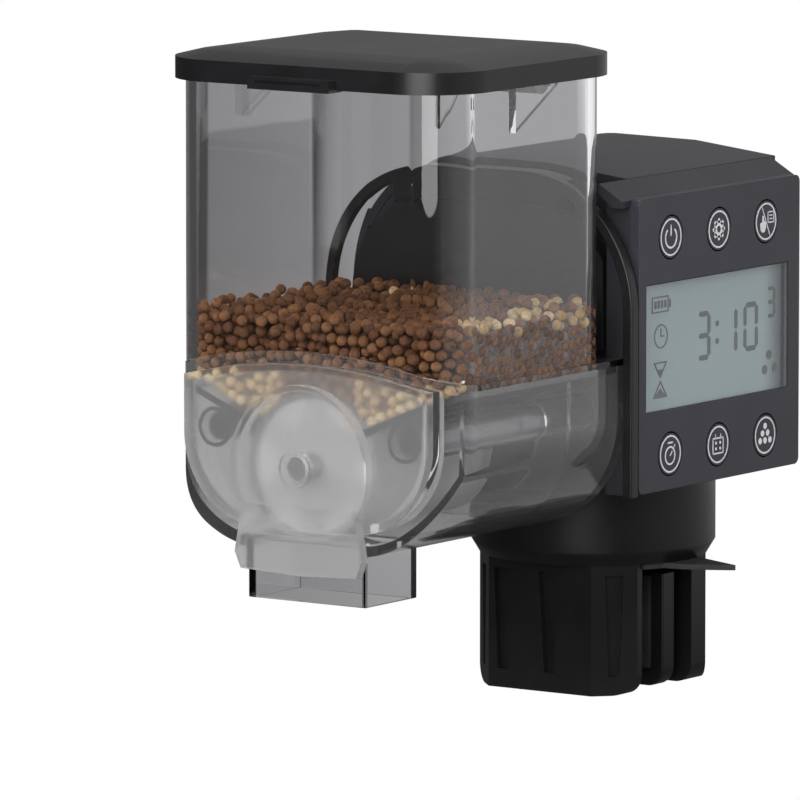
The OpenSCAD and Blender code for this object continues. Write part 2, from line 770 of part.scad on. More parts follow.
module case_screws() color("silver") for (p = POSTS) {
    rod_y(2.9, housing_back - 1.25, housing_back - 0.2, p[0], p[1]);
    rod_y(case_screw_r, housing_back - 14, housing_back - 1, p[0], p[1]);
}

// door over the batteries, with a finger ridge
module battery_door() color("#2b2b30") difference() {
    translate([-half_w, door_y0, door_z0]) cube([shell_wall, door_y1 - door_y0, door_z1 - door_z0]);
    for (i = [0 : 4]) translate([-half_w - 0.6, door_y1 - 5 - i * 1.8, (door_z0 + door_z1) / 2 - 7]) cube([1, 0.9, 14]);
}

// ---------- hopper ----------

// clear box, open top and bottom, with hinge gussets behind
module hopper_box() color("#b9bcc2", 0.4) {
    difference() {
        union() {
            translate([0, 0, joint_z + 0.05]) linear_extrude(box_top - joint_z - 0.05) box_plan();
            difference() {
                translate([0, 0, joint_z + 0.05]) linear_extrude(ledge_t) base_plan(-ledge_proud);
                translate([-60, box_front_y - 5, joint_z - 1]) cube([120, box_corner + 5, ledge_t + 2]);
                translate([-60, base_rear_y, joint_z - 1]) cube([120, 5, ledge_t + 2]);
            }
        }
        translate([0, 0, joint_z - 1]) linear_extrude(box_top) box_plan(clear_wall);
        intersection() {
            rod_y(arch_r + seam, box_front_y - 5, box_front_y + box_corner, 0, arch_cz);
            translate([-60, box_front_y - 5, joint_z - 1]) cube([120, box_corner + 5, 12]);
        }
    }
    for (s = [-1, 1]) difference() {
        translate([s * gusset_x - gusset_t / 2, 0, 0]) rotate([90, 0, 90]) linear_extrude(gusset_t) polygon([
            [box_rear_y - 0.5, gusset_low], [hinge_y + 3.8, gusset_low + 9.2],
            [hinge_y + 3.8, gusset_top], [box_rear_y - 0.5, gusset_top]
        ]);
        rod_x(hinge_pin_r + fit, -20, 20, hinge_y, hinge_z);
    }
}

// clear trough under the box, with the arched front that carries the cover
module hopper_base() color("#c4c7cc", 0.4) difference() {
    union() {
        intersection() {
            along_y(box_front_y - 5, base_rear_y + 5) trough(base_w, base_bottom, joint_z, base_round);
            linear_extrude(80) base_plan();
        }
        intersection() {
            rod_y(arch_r, box_front_y - 1, box_front_y + box_corner - 0.2, 0, arch_cz);
            translate([0, 0, joint_z - 1]) linear_extrude(30) base_plan();
        }
    }
    intersection() {
        along_y(box_front_y - 5, base_rear_y + 5) trough(base_w - 2 * clear_wall,
            base_bottom + clear_wall, 80, base_round - clear_wall);
        linear_extrude(80) base_plan(clear_wall);
    }
    along_y(box_front_y - 2, cover_front_y + cover_flange + seam) cover_outline(-seam);
    translate([-chute_w / 2 - seam, box_front_y - 1, base_bottom - 1])
        cube([chute_w + 2 * seam, chute_d + 1 + seam, clear_wall + 2]);
    rod_y(nose_r + 0.5, base_rear_y - clear_wall - 1, base_rear_y + 1, 0, rotor_z);
    for (s = [-1, 1]) rod_y(guide_in_r, base_rear_y - clear_wall - 1, base_rear_y + 1, s * pin_x, pin_z);
}

// the front cover's outline, drawn in by d
module cover_outline(d = 0) {
    intersection() {
        trough(base_w - 2 * (cover_inset + d), base_bottom + cover_low + d, 80, base_round - cover_inset);
        translate([0, arch_cz]) circle(arch_r - 2.6 - d, $fn = 128);
    }
}

// the domed housing and the tongue below it, seen from the front
module bulge_outline(d = 0) {
    neck = chute_w / 2 - 0.5 - d;
    foot = chute_w / 2 + 1.2 - d;
    translate([0, rotor_z]) circle(dome_r - d);
    polygon([
        [-dome_r + 1.2 + d, rotor_z - 2], [dome_r - 1.2 - d, rotor_z - 2], [neck, rotor_z - 9],
        [foot, tongue_bottom + 4 + d], [foot - 1.5, tongue_bottom + 0.6 + d], [0, tongue_bottom + d],
        [-foot + 1.5, tongue_bottom + 0.6 + d], [-foot, tongue_bottom + 4 + d], [-neck, rotor_z - 9]
    ]);
}

// frosted cover: plate, flange, dome and tongue
module front_cover() color("#d6d6d8", 0.6) difference() {
    union() {
        along_y(cover_front_y, cover_front_y + cover_t) cover_outline();
        difference() {
            along_y(cover_front_y + 1, cover_front_y + cover_flange) cover_outline();
            along_y(cover_front_y, cover_front_y + cover_flange + 1) cover_outline(1.5);
            translate([-chute_w / 2 - 1, cover_front_y, 0]) cube([chute_w + 2, 20, rotor_z]);
        }
        along_y(bulge_front_y, cover_front_y + 0.1) bulge_outline();
        rod_y(hub_r, bulge_front_y - hub_len, bulge_front_y + 1, 0, rotor_z);
    }
    along_y(bulge_front_y + 1.2, cover_front_y + cover_t + 1) intersection() {
        bulge_outline(1.2);
        translate([-60, rotor_z - 8]) square([120, 60]);
    }
    rod_y(spindle_r + 0.1, bulge_front_y - hub_len + 1, cover_front_y + 5, 0, rotor_z);
}

module outlet_chute() color("#c9ccd0", 0.4) translate([0, 0, chute_bottom]) difference() {
    translate([-chute_w / 2, box_front_y, 0]) cube([chute_w, chute_d, base_bottom + clear_wall - chute_bottom]);
    translate([-chute_w / 2 + 1.2, box_front_y + 1.2, -1]) cube([chute_w - 2.4, chute_d - 2.4, 40]);
}

// one sloping floor from the side wall to the cup; side is -1 or 1
module funnel_floor(side) {
    out_x = base_in_x - seam;
    polygon([
        [side * out_x, funnel_top_z], [side * out_x, funnel_top_z - funnel_t],
        [side * funnel_low_x, funnel_in_z - funnel_t], [side * funnel_in_x, funnel_in_z]
    ]);
}

module hopper_funnel() color("#c9ccd0", 0.4) {
    front = cover_front_y + cover_t + 0.4;
    flange_back = cover_front_y + cover_flange + seam;
    rear = base_rear_y - clear_wall - seam;
    inner = base_w / 2 - cover_inset - 1.5 - seam;
    intersection() {
        for (s = [-1, 1]) along_y(front, rear) funnel_floor(s);
        linear_extrude(80) {
            translate([-inner, front]) square([2 * inner, rear - front]);
            intersection() {
                base_plan(clear_wall + seam);
                translate([-60, flange_back]) square([120, rear - flange_back]);
            }
        }
    }
    difference() {
        along_y(bulkhead_y + bulkhead_t + seam, rear) difference() {
            translate([0, rotor_z]) circle(cup_r + 0.6);
            translate([0, rotor_z]) circle(nose_r + 0.5);
        }
        translate([-30, bulkhead_y, 0]) cube([60, 40, funnel_in_z - funnel_t - 0.6]);
    }
}

// cup around the dosing drum, open to the funnel above and to the chute below
module rotor_cup() color("#d6d6d8", 0.6) difference() {
    rod_y(cup_r, cup_front_y, cup_rear_y, 0, rotor_z);
    rod_y(cup_in_r, cup_front_y - 1, cup_rear_y + 1, 0, rotor_z);
    translate([-funnel_in_x + 2, cup_front_y + 7, rotor_z]) cube([2 * funnel_in_x - 4, rotor_len - 12, 40]);
    translate([-10.5, cup_front_y + 1, 0]) cube([21, chute_d - 4, rotor_z]);
}

// clear wall between the dosing chamber and the rear chamber
module rear_bulkhead() color("#c9ccd0", 0.4) along_y(bulkhead_y, bulkhead_y + bulkhead_t) difference() {
    union() {
        intersection() {
            trough(2 * (base_in_x - seam), base_bottom + clear_wall + seam, joint_z, base_round - clear_wall - seam);
            polygon([
                [-base_in_x, 0], [base_in_x, 0], [base_in_x, funnel_top_z - funnel_t - seam],
                [funnel_low_x, funnel_in_z - funnel_t - 0.2], [-funnel_low_x, funnel_in_z - funnel_t - 0.2],
                [-base_in_x, funnel_top_z - funnel_t - seam]
            ]);
        }
        translate([0, rotor_z]) circle(funnel_in_x - 0.4);
    }
    translate([0, rotor_z]) circle(socket_r + 0.5);
    for (s = [-1, 1]) translate([s * pin_x, pin_z]) circle(guide_r + seam);
}

module guide_tubes() color("#c9ccd0", 0.4) for (s = [-1, 1]) difference() {
    rod_y(guide_r, guide_front_y, base_rear_y - clear_wall - eps, s * pin_x, pin_z);
    rod_y(guide_in_r, guide_front_y - 1, base_rear_y, s * pin_x, pin_z);
}

module hinge_pin() color("silver") rod_x(hinge_pin_r, -gusset_x - 2, gusset_x + 2, hinge_y, hinge_z);

// plain solid in place of the food
module food_pellets() color("#6b4630") difference() {
    intersection() {
        along_y(box_front_y + clear_wall + 1, box_rear_y - clear_wall - 1) difference() {
            polygon([
                [-base_in_x + 1, 64], [-base_in_x + 1, funnel_top_z + 0.5], [-funnel_in_x - 0.4, funnel_in_z + 0.4],
                [funnel_in_x + 0.4, funnel_in_z + 0.4], [base_in_x - 1, funnel_top_z + 0.5], [base_in_x - 1, 62],
                [8, 65]
            ]);
            translate([0, rotor_z]) circle(cup_r + 1);
        }
        translate([0, 0, 30]) linear_extrude(60) box_plan(clear_wall + 0.6);
    }
    difference() {
        along_y(cover_front_y, cover_front_y + cover_flange + 0.4) cover_outline(-0.4);
        along_y(cover_front_y - 1, cover_front_y + cover_flange + 1) cover_outline(1.9);
    }
}

// dosing drum with scoops around it and a dog socket behind
module dosing_rotor() color("#e2e2e4") difference() {
    union() {
        rod_y(rotor_r, rotor_front_y, rotor_rear_y, 0, rotor_z);
        rod_y(socket_r, rotor_rear_y - 1, socket_rear_y, 0, rotor_z);
    }
    for (i = [0 : scoops - 1]) rod_y(scoop_r, rotor_front_y + 2, rotor_rear_y - 2,
        rotor_r * cos(i * 360 / scoops), rotor_z + rotor_r * sin(i * 360 / scoops));
    rod_y(spindle_r + 0.02, rotor_front_y - 1, rotor_rear_y - 3, 0, rotor_z);
    translate([0, socket_rear_y - dog_len / 2, rotor_z]) intersection() {
        for (a = [0, 90]) rotate([0, a, 0]) cube([2 * dog_r + 0.8, dog_len + 1.4, dog_w + 0.8], center = true);
        rotate([90, 0, 0]) cylinder(r = dog_r + 0.4, h = dog_len + 1.4, center = true);
    }
}

module rotor_spindle() color("silver")
    rod_y(spindle_r, bulge_front_y + 0.2, rotor_rear_y - 3.2, 0, rotor_z);

// ---------- lid ----------

module lid_plan(d = 0) {
    translate([0, box_mid_y]) round_rect(lid_w - 2 * d, lid_d - 2 * d, lid_corner - d);
}

// lid with its skirt, front tab and rear hinge knuckle
module hopper_lid() color("#1d1d20") {
    difference() {
        union() {
            translate([0, 0, skirt_bottom]) linear_extrude(skirt_h) lid_plan();
            hull() {
                translate([0, 0, skirt_bottom + skirt_h - 0.5]) linear_extrude(0.5) lid_plan(0.01);
                translate([0, 0, skirt_bottom + skirt_h + dome_h * 0.55]) linear_extrude(0.1) lid_plan(5);
                translate([0, 0, skirt_bottom + skirt_h + dome_h - 0.1]) linear_extrude(0.1) lid_plan(12);
            }
        }
        translate([0, 0, skirt_bottom - 1]) linear_extrude(box_top - skirt_bottom + 1.2)
            translate([0, box_mid_y]) round_rect(box_w + 2 * lid_gap, box_d + 2 * lid_gap, box_corner + lid_gap);
    }
    difference() {
        translate([-tab_w / 2, box_mid_y - lid_d / 2 - tab_out, skirt_bottom - 0.4]) cube([tab_w, tab_out + 2, tab_h]);
        translate([-tab_w / 2 + 2, box_mid_y - lid_d / 2 - tab_out - 1, skirt_bottom + 0.8]) cube([tab_w - 4, 1.5, 0.6]);
    }
    difference() {
        union() {
            translate([-knuckle_w / 2, box_mid_y + lid_d / 2 - 1, skirt_bottom])
                cube([knuckle_w, hinge_y - box_mid_y - lid_d / 2 + 3.5, skirt_h - 1]);
            translate([-knuckle_w / 2, hinge_y - 2.5, hinge_z]) cube([knuckle_w, 5, skirt_bottom - hinge_z + 1]);
            rod_x(knuckle_r, -knuckle_w / 2, knuckle_w / 2, hinge_y, hinge_z);
        }
        rod_x(hinge_pin_r + fit, -20, 20, hinge_y, hinge_z);
    }
}

module lid_gasket() color("#4a4a4e") difference() {
    rear_gap = 1.4;
    translate([0, 0, box_top + 0.2 - gasket_h]) linear_extrude(gasket_h - eps) translate([0, box_mid_y - rear_gap / 2])
        round_rect(box_w - 2 * clear_wall - 1.2, box_d - 2 * clear_wall - 1.2 - rear_gap, box_corner - clear_wall - 0.6);
    translate([0, 0, box_top - 5]) linear_extrude(9) translate([0, box_mid_y - rear_gap / 2])
        round_rect(box_w - 2 * clear_wall - 5.2, box_d - 2 * clear_wall - 5.2 - rear_gap, box_corner - clear_wall - 2.6);
}

clamp_base();
seat_pad();
front_jaw_pad();
clamp_nut();
swivel_washer();
swivel_screw();
clamp_plate();
clamp_plate_pad();
clamp_screw();
main_shell();
panel_frame();
panel_face();
display_lens();
display_module();
control_board();
key_mat();
hopper_collar();
front_plate();
front_casing();
drive_nose();
support_pins();
motor();
motor_bracket();
shaft_bush();
battery_tray();
battery_cells();
battery_contacts();
battery_springs();
case_screws();
battery_door();
drive_shaft();
drive_gear();
motor_pinion();
key_power();
key_settings();
key_manual();
key_timer();
key_schedule();
key_portion();
hopper_box();
hopper_base();
front_cover();
outlet_chute();
hopper_funnel();
rotor_cup();
rear_bulkhead();
guide_tubes();
hinge_pin();
food_pellets();
dosing_rotor();
rotor_spindle();
hopper_lid();
lid_gasket();
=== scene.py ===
# %% [markdown]
# # A clamp-on pet feeder
#
# The real thing is a small dispenser that grips the rim of an aquarium. A clear lidded
# hopper holds the pellets, a frosted cover hides the dosing drum, and a dark housing
# carries the drive and the display. The engineering model already gives every moulding
# its true size, so this lesson dresses it: soft moulded edges, plastics that carry light,
# a heap of real pellets, and the fine print on the display and its keys.
#
# The imported model is loaded first, as a frame that nothing here moves or resizes.

# %% Load the imported model
import json
import math

import bpy
import numpy as np
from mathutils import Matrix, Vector, kdtree

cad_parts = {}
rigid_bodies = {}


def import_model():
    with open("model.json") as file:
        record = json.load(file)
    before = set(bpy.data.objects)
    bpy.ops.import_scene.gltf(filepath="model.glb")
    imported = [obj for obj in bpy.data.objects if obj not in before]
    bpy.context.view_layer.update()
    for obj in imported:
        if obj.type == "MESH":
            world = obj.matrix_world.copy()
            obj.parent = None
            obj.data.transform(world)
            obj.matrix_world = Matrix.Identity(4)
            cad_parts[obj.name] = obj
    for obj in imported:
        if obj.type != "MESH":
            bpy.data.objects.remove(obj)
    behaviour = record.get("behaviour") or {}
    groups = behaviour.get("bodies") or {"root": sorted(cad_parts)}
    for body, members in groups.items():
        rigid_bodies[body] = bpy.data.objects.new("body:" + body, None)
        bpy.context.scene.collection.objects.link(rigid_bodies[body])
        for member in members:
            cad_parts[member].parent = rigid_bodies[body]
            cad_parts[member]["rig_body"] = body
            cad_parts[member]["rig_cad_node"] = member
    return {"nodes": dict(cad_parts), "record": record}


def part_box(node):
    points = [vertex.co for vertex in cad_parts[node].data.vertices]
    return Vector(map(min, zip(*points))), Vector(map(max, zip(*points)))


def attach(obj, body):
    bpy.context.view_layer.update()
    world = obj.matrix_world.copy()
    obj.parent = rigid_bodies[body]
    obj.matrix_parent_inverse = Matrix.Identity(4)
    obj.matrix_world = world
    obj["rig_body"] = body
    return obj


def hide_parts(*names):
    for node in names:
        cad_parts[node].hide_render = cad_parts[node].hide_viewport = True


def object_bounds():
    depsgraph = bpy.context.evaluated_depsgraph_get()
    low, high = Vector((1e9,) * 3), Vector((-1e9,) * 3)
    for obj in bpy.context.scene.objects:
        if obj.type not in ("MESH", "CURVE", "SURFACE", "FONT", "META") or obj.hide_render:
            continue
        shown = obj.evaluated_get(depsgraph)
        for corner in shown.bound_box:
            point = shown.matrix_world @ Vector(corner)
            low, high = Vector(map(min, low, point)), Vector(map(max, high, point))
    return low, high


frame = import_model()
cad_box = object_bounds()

MM = 0.001

# %% [markdown]
# Blender's operators act on whatever is selected, and loading leaves every node
# selected. Two small helpers keep that in hand: one clears the selection, the other
# picks exactly the objects that the next operator is meant for.

# %% Selection helpers
def pick_none():
    if bpy.context.mode != "OBJECT":
        bpy.ops.object.mode_set(mode="OBJECT")
    bpy.ops.object.select_all(action="DESELECT")


def pick(*objects):
    pick_none()
    for item in objects:
        item.select_set(True)
    bpy.context.view_layer.objects.active = objects[0]
    return objects[0]


def apply_modifiers(piece):
    pick(piece)
    for modifier in list(piece.modifiers):
        bpy.ops.object.modifier_apply(modifier=modifier.name)


pick_none()
print("nothing is selected:", not bpy.context.selected_objects)

# %% [markdown]
# ## The studio
#
# The feeder is shown in a plain bright room: a pale floor, a pale backdrop and soft
# lights. Clear plastic takes its tone from what surrounds it and not from a colour of its
# own, so a mid grey card stands behind it in a white room, while the camera itself sees
# the floor and the backdrop as clean white, as on a cut-out product shot. Mirror images
# are a third case: the room in front of the feeder is dim, which keeps the dark
# mouldings black and the clear walls free of haze. A Light Path node tells them apart.

# %% Room tones
CARD_GREY = 0.34
MIRROR_DIM, MIRROR_BRIGHT = 0.05, 0.55
BRIGHT_SIDE = (0.57, 0.82, 0.0)
WHITE_SIDE = (0.822, 0.569, 0.0)
CARD_STOPS = ((0.28, 0.07), (0.45, CARD_GREY), (0.60, CARD_GREY), (0.82, 0.95))


def tone_along(tree, source, side, start, stop, first, last):
    """A grey that changes from first to last along one direction of the room."""
    coord = tree.nodes.new("ShaderNodeTexCoord")
    along = tree.nodes.new("ShaderNodeVectorMath")
    along.operation = "DOT_PRODUCT"
    along.inputs[1].default_value = side
    tone = tree.nodes.new("ShaderNodeMapRange")
    tone.interpolation_type = "SMOOTHSTEP"
    for name, value in (("From Min", start), ("From Max", stop),
                        ("To Min", first), ("To Max", last)):
        tone.inputs[name].default_value = value
    tree.links.new(coord.outputs[source], along.inputs[0])
    tree.links.new(along.outputs["Value"], tone.inputs["Value"])
    return tone.outputs["Result"]


def card_tone(tree, source, reach):
    """Dark at the front left, the grey card behind, white at the display side."""
    ramp = tree.nodes.new("ShaderNodeValToRGB")
    ends = ramp.color_ramp.elements
    for i, (place, value) in enumerate(CARD_STOPS):
        stop = ends[i] if i < 2 else ends.new(place)
        stop.position, stop.color = place, (value, value, value * 1.01, 1)
    tree.links.new(tone_along(tree, source, WHITE_SIDE, -reach, reach, 0.0, 1.0), ramp.inputs["Fac"])
    return ramp.outputs["Color"]


def by_ray(tree, kind, source, reach, mirrored):
    """Mixes the room's light for the camera, for rays through plastic, and for mirror rays."""
    path = tree.nodes.new("ShaderNodeLightPath")
    seen, passed, mirror, plain = (tree.nodes.new(kind) for _ in range(4))
    seen.inputs["Color"].default_value = (1, 1, 1, 1)
    plain.inputs["Color"].default_value = (CARD_GREY, CARD_GREY, CARD_GREY, 1)
    tree.links.new(card_tone(tree, source, reach), passed.inputs["Color"])
    tree.links.new(tone_along(tree, source, BRIGHT_SIDE, *mirrored, MIRROR_DIM, MIRROR_BRIGHT),
                   mirror.inputs["Color"])
    result = plain
    for ray, light in (("Is Glossy Ray", mirror), ("Is Transmission Ray", passed),
                       ("Is Camera Ray", seen)):
        mix = tree.nodes.new("ShaderNodeMixShader")
        tree.links.new(path.outputs[ray], mix.inputs[0])
        tree.links.new(result.outputs[0], mix.inputs[1])
        tree.links.new(light.outputs[0], mix.inputs[2])
        result = mix
    return result


# %% Backdrop
world = bpy.data.worlds.new("studio")
bpy.context.scene.world = world
world.use_nodes = True
world.node_tree.nodes.clear()
world_out = world.node_tree.nodes.new("ShaderNodeOutputWorld")
world_mix = by_ray(world.node_tree, "ShaderNodeBackground", "Generated", 1.0, (-0.2, 1.0))
world.node_tree.links.new(world_mix.outputs[0], world_out.inputs["Surface"])
print("world:", world.name)

# %% [markdown]
# The floor is a wide disc just under the clamp's legs. Its material uses the same trick:
# white to the camera, grey to the rays that have passed a clear wall, and dim to mirror
# rays, so the plastic picks up a calm reflection of it.

# %% Floor
FLOOR_SIZE = 12.0
FLOOR_GAP = 0.2 * MM
floor_height = cad_box[0].z - FLOOR_GAP
bpy.ops.mesh.primitive_circle_add(
    vertices=96, radius=FLOOR_SIZE, fill_type="NGON", location=(0, 0, floor_height))
floor = bpy.context.active_object
floor.name = "studio_floor"
floor_finish = bpy.data.materials.new("studio_floor")
floor_finish.use_nodes = True
floor_tree = floor_finish.node_tree
floor_tree.nodes.clear()
floor_out = floor_tree.nodes.new("ShaderNodeOutputMaterial")
floor_mix = by_ray(floor_tree, "ShaderNodeEmission", "Object", 0.6, (-0.1, 0.45))
floor_tree.links.new(floor_mix.outputs[0], floor_out.inputs["Surface"])
floor.data.materials.append(floor_finish)
print("floor at", round(floor_height * 1000, 1), "mm")

# %% [markdown]
# The camera stands a little over two metres away with a long lens, in front of the
# feeder and to its display side, and looks slightly down. The feeder hangs to the left
# of its own swivel, so the camera is aimed beside the origin, which keeps the lens shift
# at zero.

# %% Camera
AZIMUTH = math.radians(34.69)
ELEVATION = math.radians(7.26)
DISTANCE, LENS, SENSOR = 2.11, 447.6, 36
AIM_RIGHT, AIM_UP = -40.98 * MM, 32.98 * MM
back = Vector((
    math.sin(AZIMUTH) * math.cos(ELEVATION),
    -math.cos(AZIMUTH) * math.cos(ELEVATION),
    math.sin(ELEVATION)))
right = Vector((math.cos(AZIMUTH), math.sin(AZIMUTH), 0))
up = back.cross(right)
aim = right * AIM_RIGHT + up * AIM_UP
bpy.ops.object.camera_add(location=aim + back * DISTANCE)
camera = bpy.context.active_object
camera.name = "studio_camera"
camera.rotation_euler = (-back).to_track_quat("-Z", "Y").to_euler()
camera.data.lens = LENS
camera.data.sensor_width = SENSOR
camera.data.clip_end = 60
bpy.context.scene.camera = camera
bpy.context.scene.view_settings.view_transform = "Standard"
print("camera at", [round(c, 3) for c in camera.location])

# %% [markdown]
# Soft lights: a broad one overhead that draws the gradient on the lid, a large one at
# the front left for the pellets and the frosted cover, and one near the camera whose
# mirror image runs down the hopper's rounded corner. The front light would lie on the
# flat walls as a pale patch, so it is hidden from mirror rays and only lights. A soft
# light at the display side and a low strip behind on the left are hidden likewise.

# %% Lights
def soft_light(name, azimuth, elevation, distance, size, watts,
               mirrored=True, look=(0, -0.06, 0.06)):
    a, e = math.radians(azimuth), math.radians(elevation)
    away = Vector((math.sin(a) * math.cos(e), -math.cos(a) * math.cos(e), math.sin(e)))
    target = Vector(look)
    bpy.ops.object.light_add(type="AREA", location=target + away * distance)
    lamp = bpy.context.active_object
    lamp.name = name
    lamp.rotation_euler = away.to_track_quat("Z", "Y").to_euler()
    lamp.data.shape = "RECTANGLE"
    lamp.data.size, lamp.data.size_y = size
    lamp.data.energy = watts
    lamp.visible_glossy = mirrored
    lamp.visible_transmission = False


soft_light("top_softbox", -20, 74, 0.9, (0.9, 0.7), 9.0)
soft_light("front_softbox", -38, 28, 1.0, (0.7, 0.7), 7.0, mirrored=False)
soft_light("corner_strip", 20, 16, 0.75, (0.5, 0.55), 4.6)
soft_light("right_softbox", 70, 30, 1.0, (0.5, 0.5), 3.0, mirrored=False)
soft_light("left_rim", -128, 14, 0.7, (0.25, 0.8), 2.0, mirrored=False)

# %% [markdown]
# ## Shared surface effects
#
# Moulded plastic is never perfectly even. The tool leaves a faint sparkle texture, and
# handling leaves broad, hardly visible changes in gloss. Both are used by many finishes,
# so each is a node group with its own named inputs, built once. The groups only put out
# masks, values and normals. The shader itself always stays in the material.

# %% Node groups for moulded skin and handling marks
def group_frame(name, inputs, outputs):
    tree = bpy.data.node_groups.new(name, "ShaderNodeTree")
    for label, kind, value in inputs:
        socket = tree.interface.new_socket(label, in_out="INPUT", socket_type=kind)
        socket.default_value = value
    for label, kind in outputs:
        tree.interface.new_socket(label, in_out="OUTPUT", socket_type=kind)
    return tree, tree.nodes.new("NodeGroupInput"), tree.nodes.new("NodeGroupOutput")


def node(tree, kind, **settings):
    made = tree.nodes.new(kind)
    for key, value in settings.items():
        if key in made.inputs:
            made.inputs[key].default_value = value
        else:
            setattr(made, key, value)
    return made


def moulded_skin_group():
    """Fine spark-eroded texture: a height for a Bump node, in even grains."""
    tree, given, result = group_frame(
        "moulded_skin",
        [("Grains per metre", "NodeSocketFloat", 2600.0), ("Unevenness", "NodeSocketFloat", 0.4)],
        [("Height", "NodeSocketFloat"), ("Mask", "NodeSocketFloat")])
    coord = node(tree, "ShaderNodeTexCoord")
    fine = node(tree, "ShaderNodeTexNoise", Detail=3.0, Roughness=0.6)
    broad = node(tree, "ShaderNodeTexNoise", Scale=38.0, Detail=2.0)
    mix = node(tree, "ShaderNodeMath", operation="MULTIPLY_ADD")
    tree.links.new(coord.outputs["Object"], fine.inputs["Vector"])
    tree.links.new(coord.outputs["Object"], broad.inputs["Vector"])
    tree.links.new(given.outputs["Grains per metre"], fine.inputs["Scale"])
    tree.links.new(broad.outputs["Fac"], mix.inputs[0])
    tree.links.new(given.outputs["Unevenness"], mix.inputs[1])
    tree.links.new(fine.outputs["Fac"], mix.inputs[2])
    tree.links.new(mix.outputs[0], result.inputs["Height"])
    tree.links.new(broad.outputs["Fac"], result.inputs["Mask"])
    return tree


def handling_group():
    """Broad gloss changes: a roughness around a middle value, and a faint tone mask."""
    tree, given, result = group_frame(
        "handling_marks",
        [("Middle", "NodeSocketFloat", 0.4), ("Spread", "NodeSocketFloat", 0.08),
         ("Size", "NodeSocketFloat", 55.0)],
        [("Roughness", "NodeSocketFloat"), ("Tone", "NodeSocketFloat")])
    coord = node(tree, "ShaderNodeTexCoord")
    noise = node(tree, "ShaderNodeTexNoise", Detail=4.0, Roughness=0.55, Distortion=0.6)
    centre = node(tree, "ShaderNodeMath", operation="SUBTRACT")
    centre.inputs[1].default_value = 0.5
    spread = node(tree, "ShaderNodeMath", operation="MULTIPLY_ADD")
    tree.links.new(coord.outputs["Object"], noise.inputs["Vector"])
    tree.links.new(given.outputs["Size"], noise.inputs["Scale"])
    tree.links.new(noise.outputs["Fac"], centre.inputs[0])
    tree.links.new(centre.outputs[0], spread.inputs[0])
    tree.links.new(given.outputs["Spread"], spread.inputs[1])
    tree.links.new(given.outputs["Middle"], spread.inputs[2])
    tree.links.new(spread.outputs[0], result.inputs["Roughness"])
    tree.links.new(noise.outputs["Fac"], result.inputs["Tone"])
    return tree


GROUPS = {"moulded_skin": moulded_skin_group(), "handling_marks": handling_group()}
print("node groups:", sorted(GROUPS))

# %% [markdown]
# Every opaque plastic here is the same recipe with its own numbers: a colour that drifts
# a little between two near tones, a roughness from the handling marks, and the moulded
# skin as a very shallow bump. The function below lays that out, and it returns the
# material so that a finish can add more to it.

# %% Opaque plastic
def use_group(tree, name, **values):
    made = tree.nodes.new("ShaderNodeGroup")
    made.node_tree = GROUPS[name]
    for key, value in values.items():
        made.inputs[key.replace("_", " ").capitalize()].default_value = value
    return made


def blank_material(name):
    finish = bpy.data.materials.new(name)
    finish.use_nodes = True
    tree = finish.node_tree
    tree.nodes.clear()
    shader = tree.nodes.new("ShaderNodeBsdfPrincipled")
    out = tree.nodes.new("ShaderNodeOutputMaterial")
    tree.links.new(shader.outputs[0], out.inputs["Surface"])
    return finish, tree, shader, out


def drifting_colour(tree, mask, dark, light):
    ramp = tree.nodes.new("ShaderNodeValToRGB")
    ramp.color_ramp.elements[0].position, ramp.color_ramp.elements[1].position = 0.35, 0.65
    ramp.color_ramp.elements[0].color = (*dark, 1)
    ramp.color_ramp.elements[1].color = (*light, 1)
    tree.links.new(mask, ramp.inputs["Fac"])
    return ramp.outputs["Color"]


def plastic(name, dark, light, gloss, spread=0.06, grains=2600.0, bump=0.012, metallic=0.0, coat=0.0):
    finish, tree, shader, _ = blank_material(name)
    marks = use_group(tree, "handling_marks", middle=gloss, spread=spread)
    skin = use_group(tree, "moulded_skin", grains_per_metre=grains)
    raised = node(tree, "ShaderNodeBump", Strength=1.0, Distance=bump * MM)
    tree.links.new(drifting_colour(tree, marks.outputs["Tone"], dark, light), shader.inputs["Base Color"])
    tree.links.new(marks.outputs["Roughness"], shader.inputs["Roughness"])
    tree.links.new(skin.outputs["Height"], raised.inputs["Height"])
    tree.links.new(raised.outputs["Normal"], shader.inputs["Normal"])
    shader.inputs["Metallic"].default_value = metallic
    shader.inputs["Coat Weight"].default_value = coat
    return finish


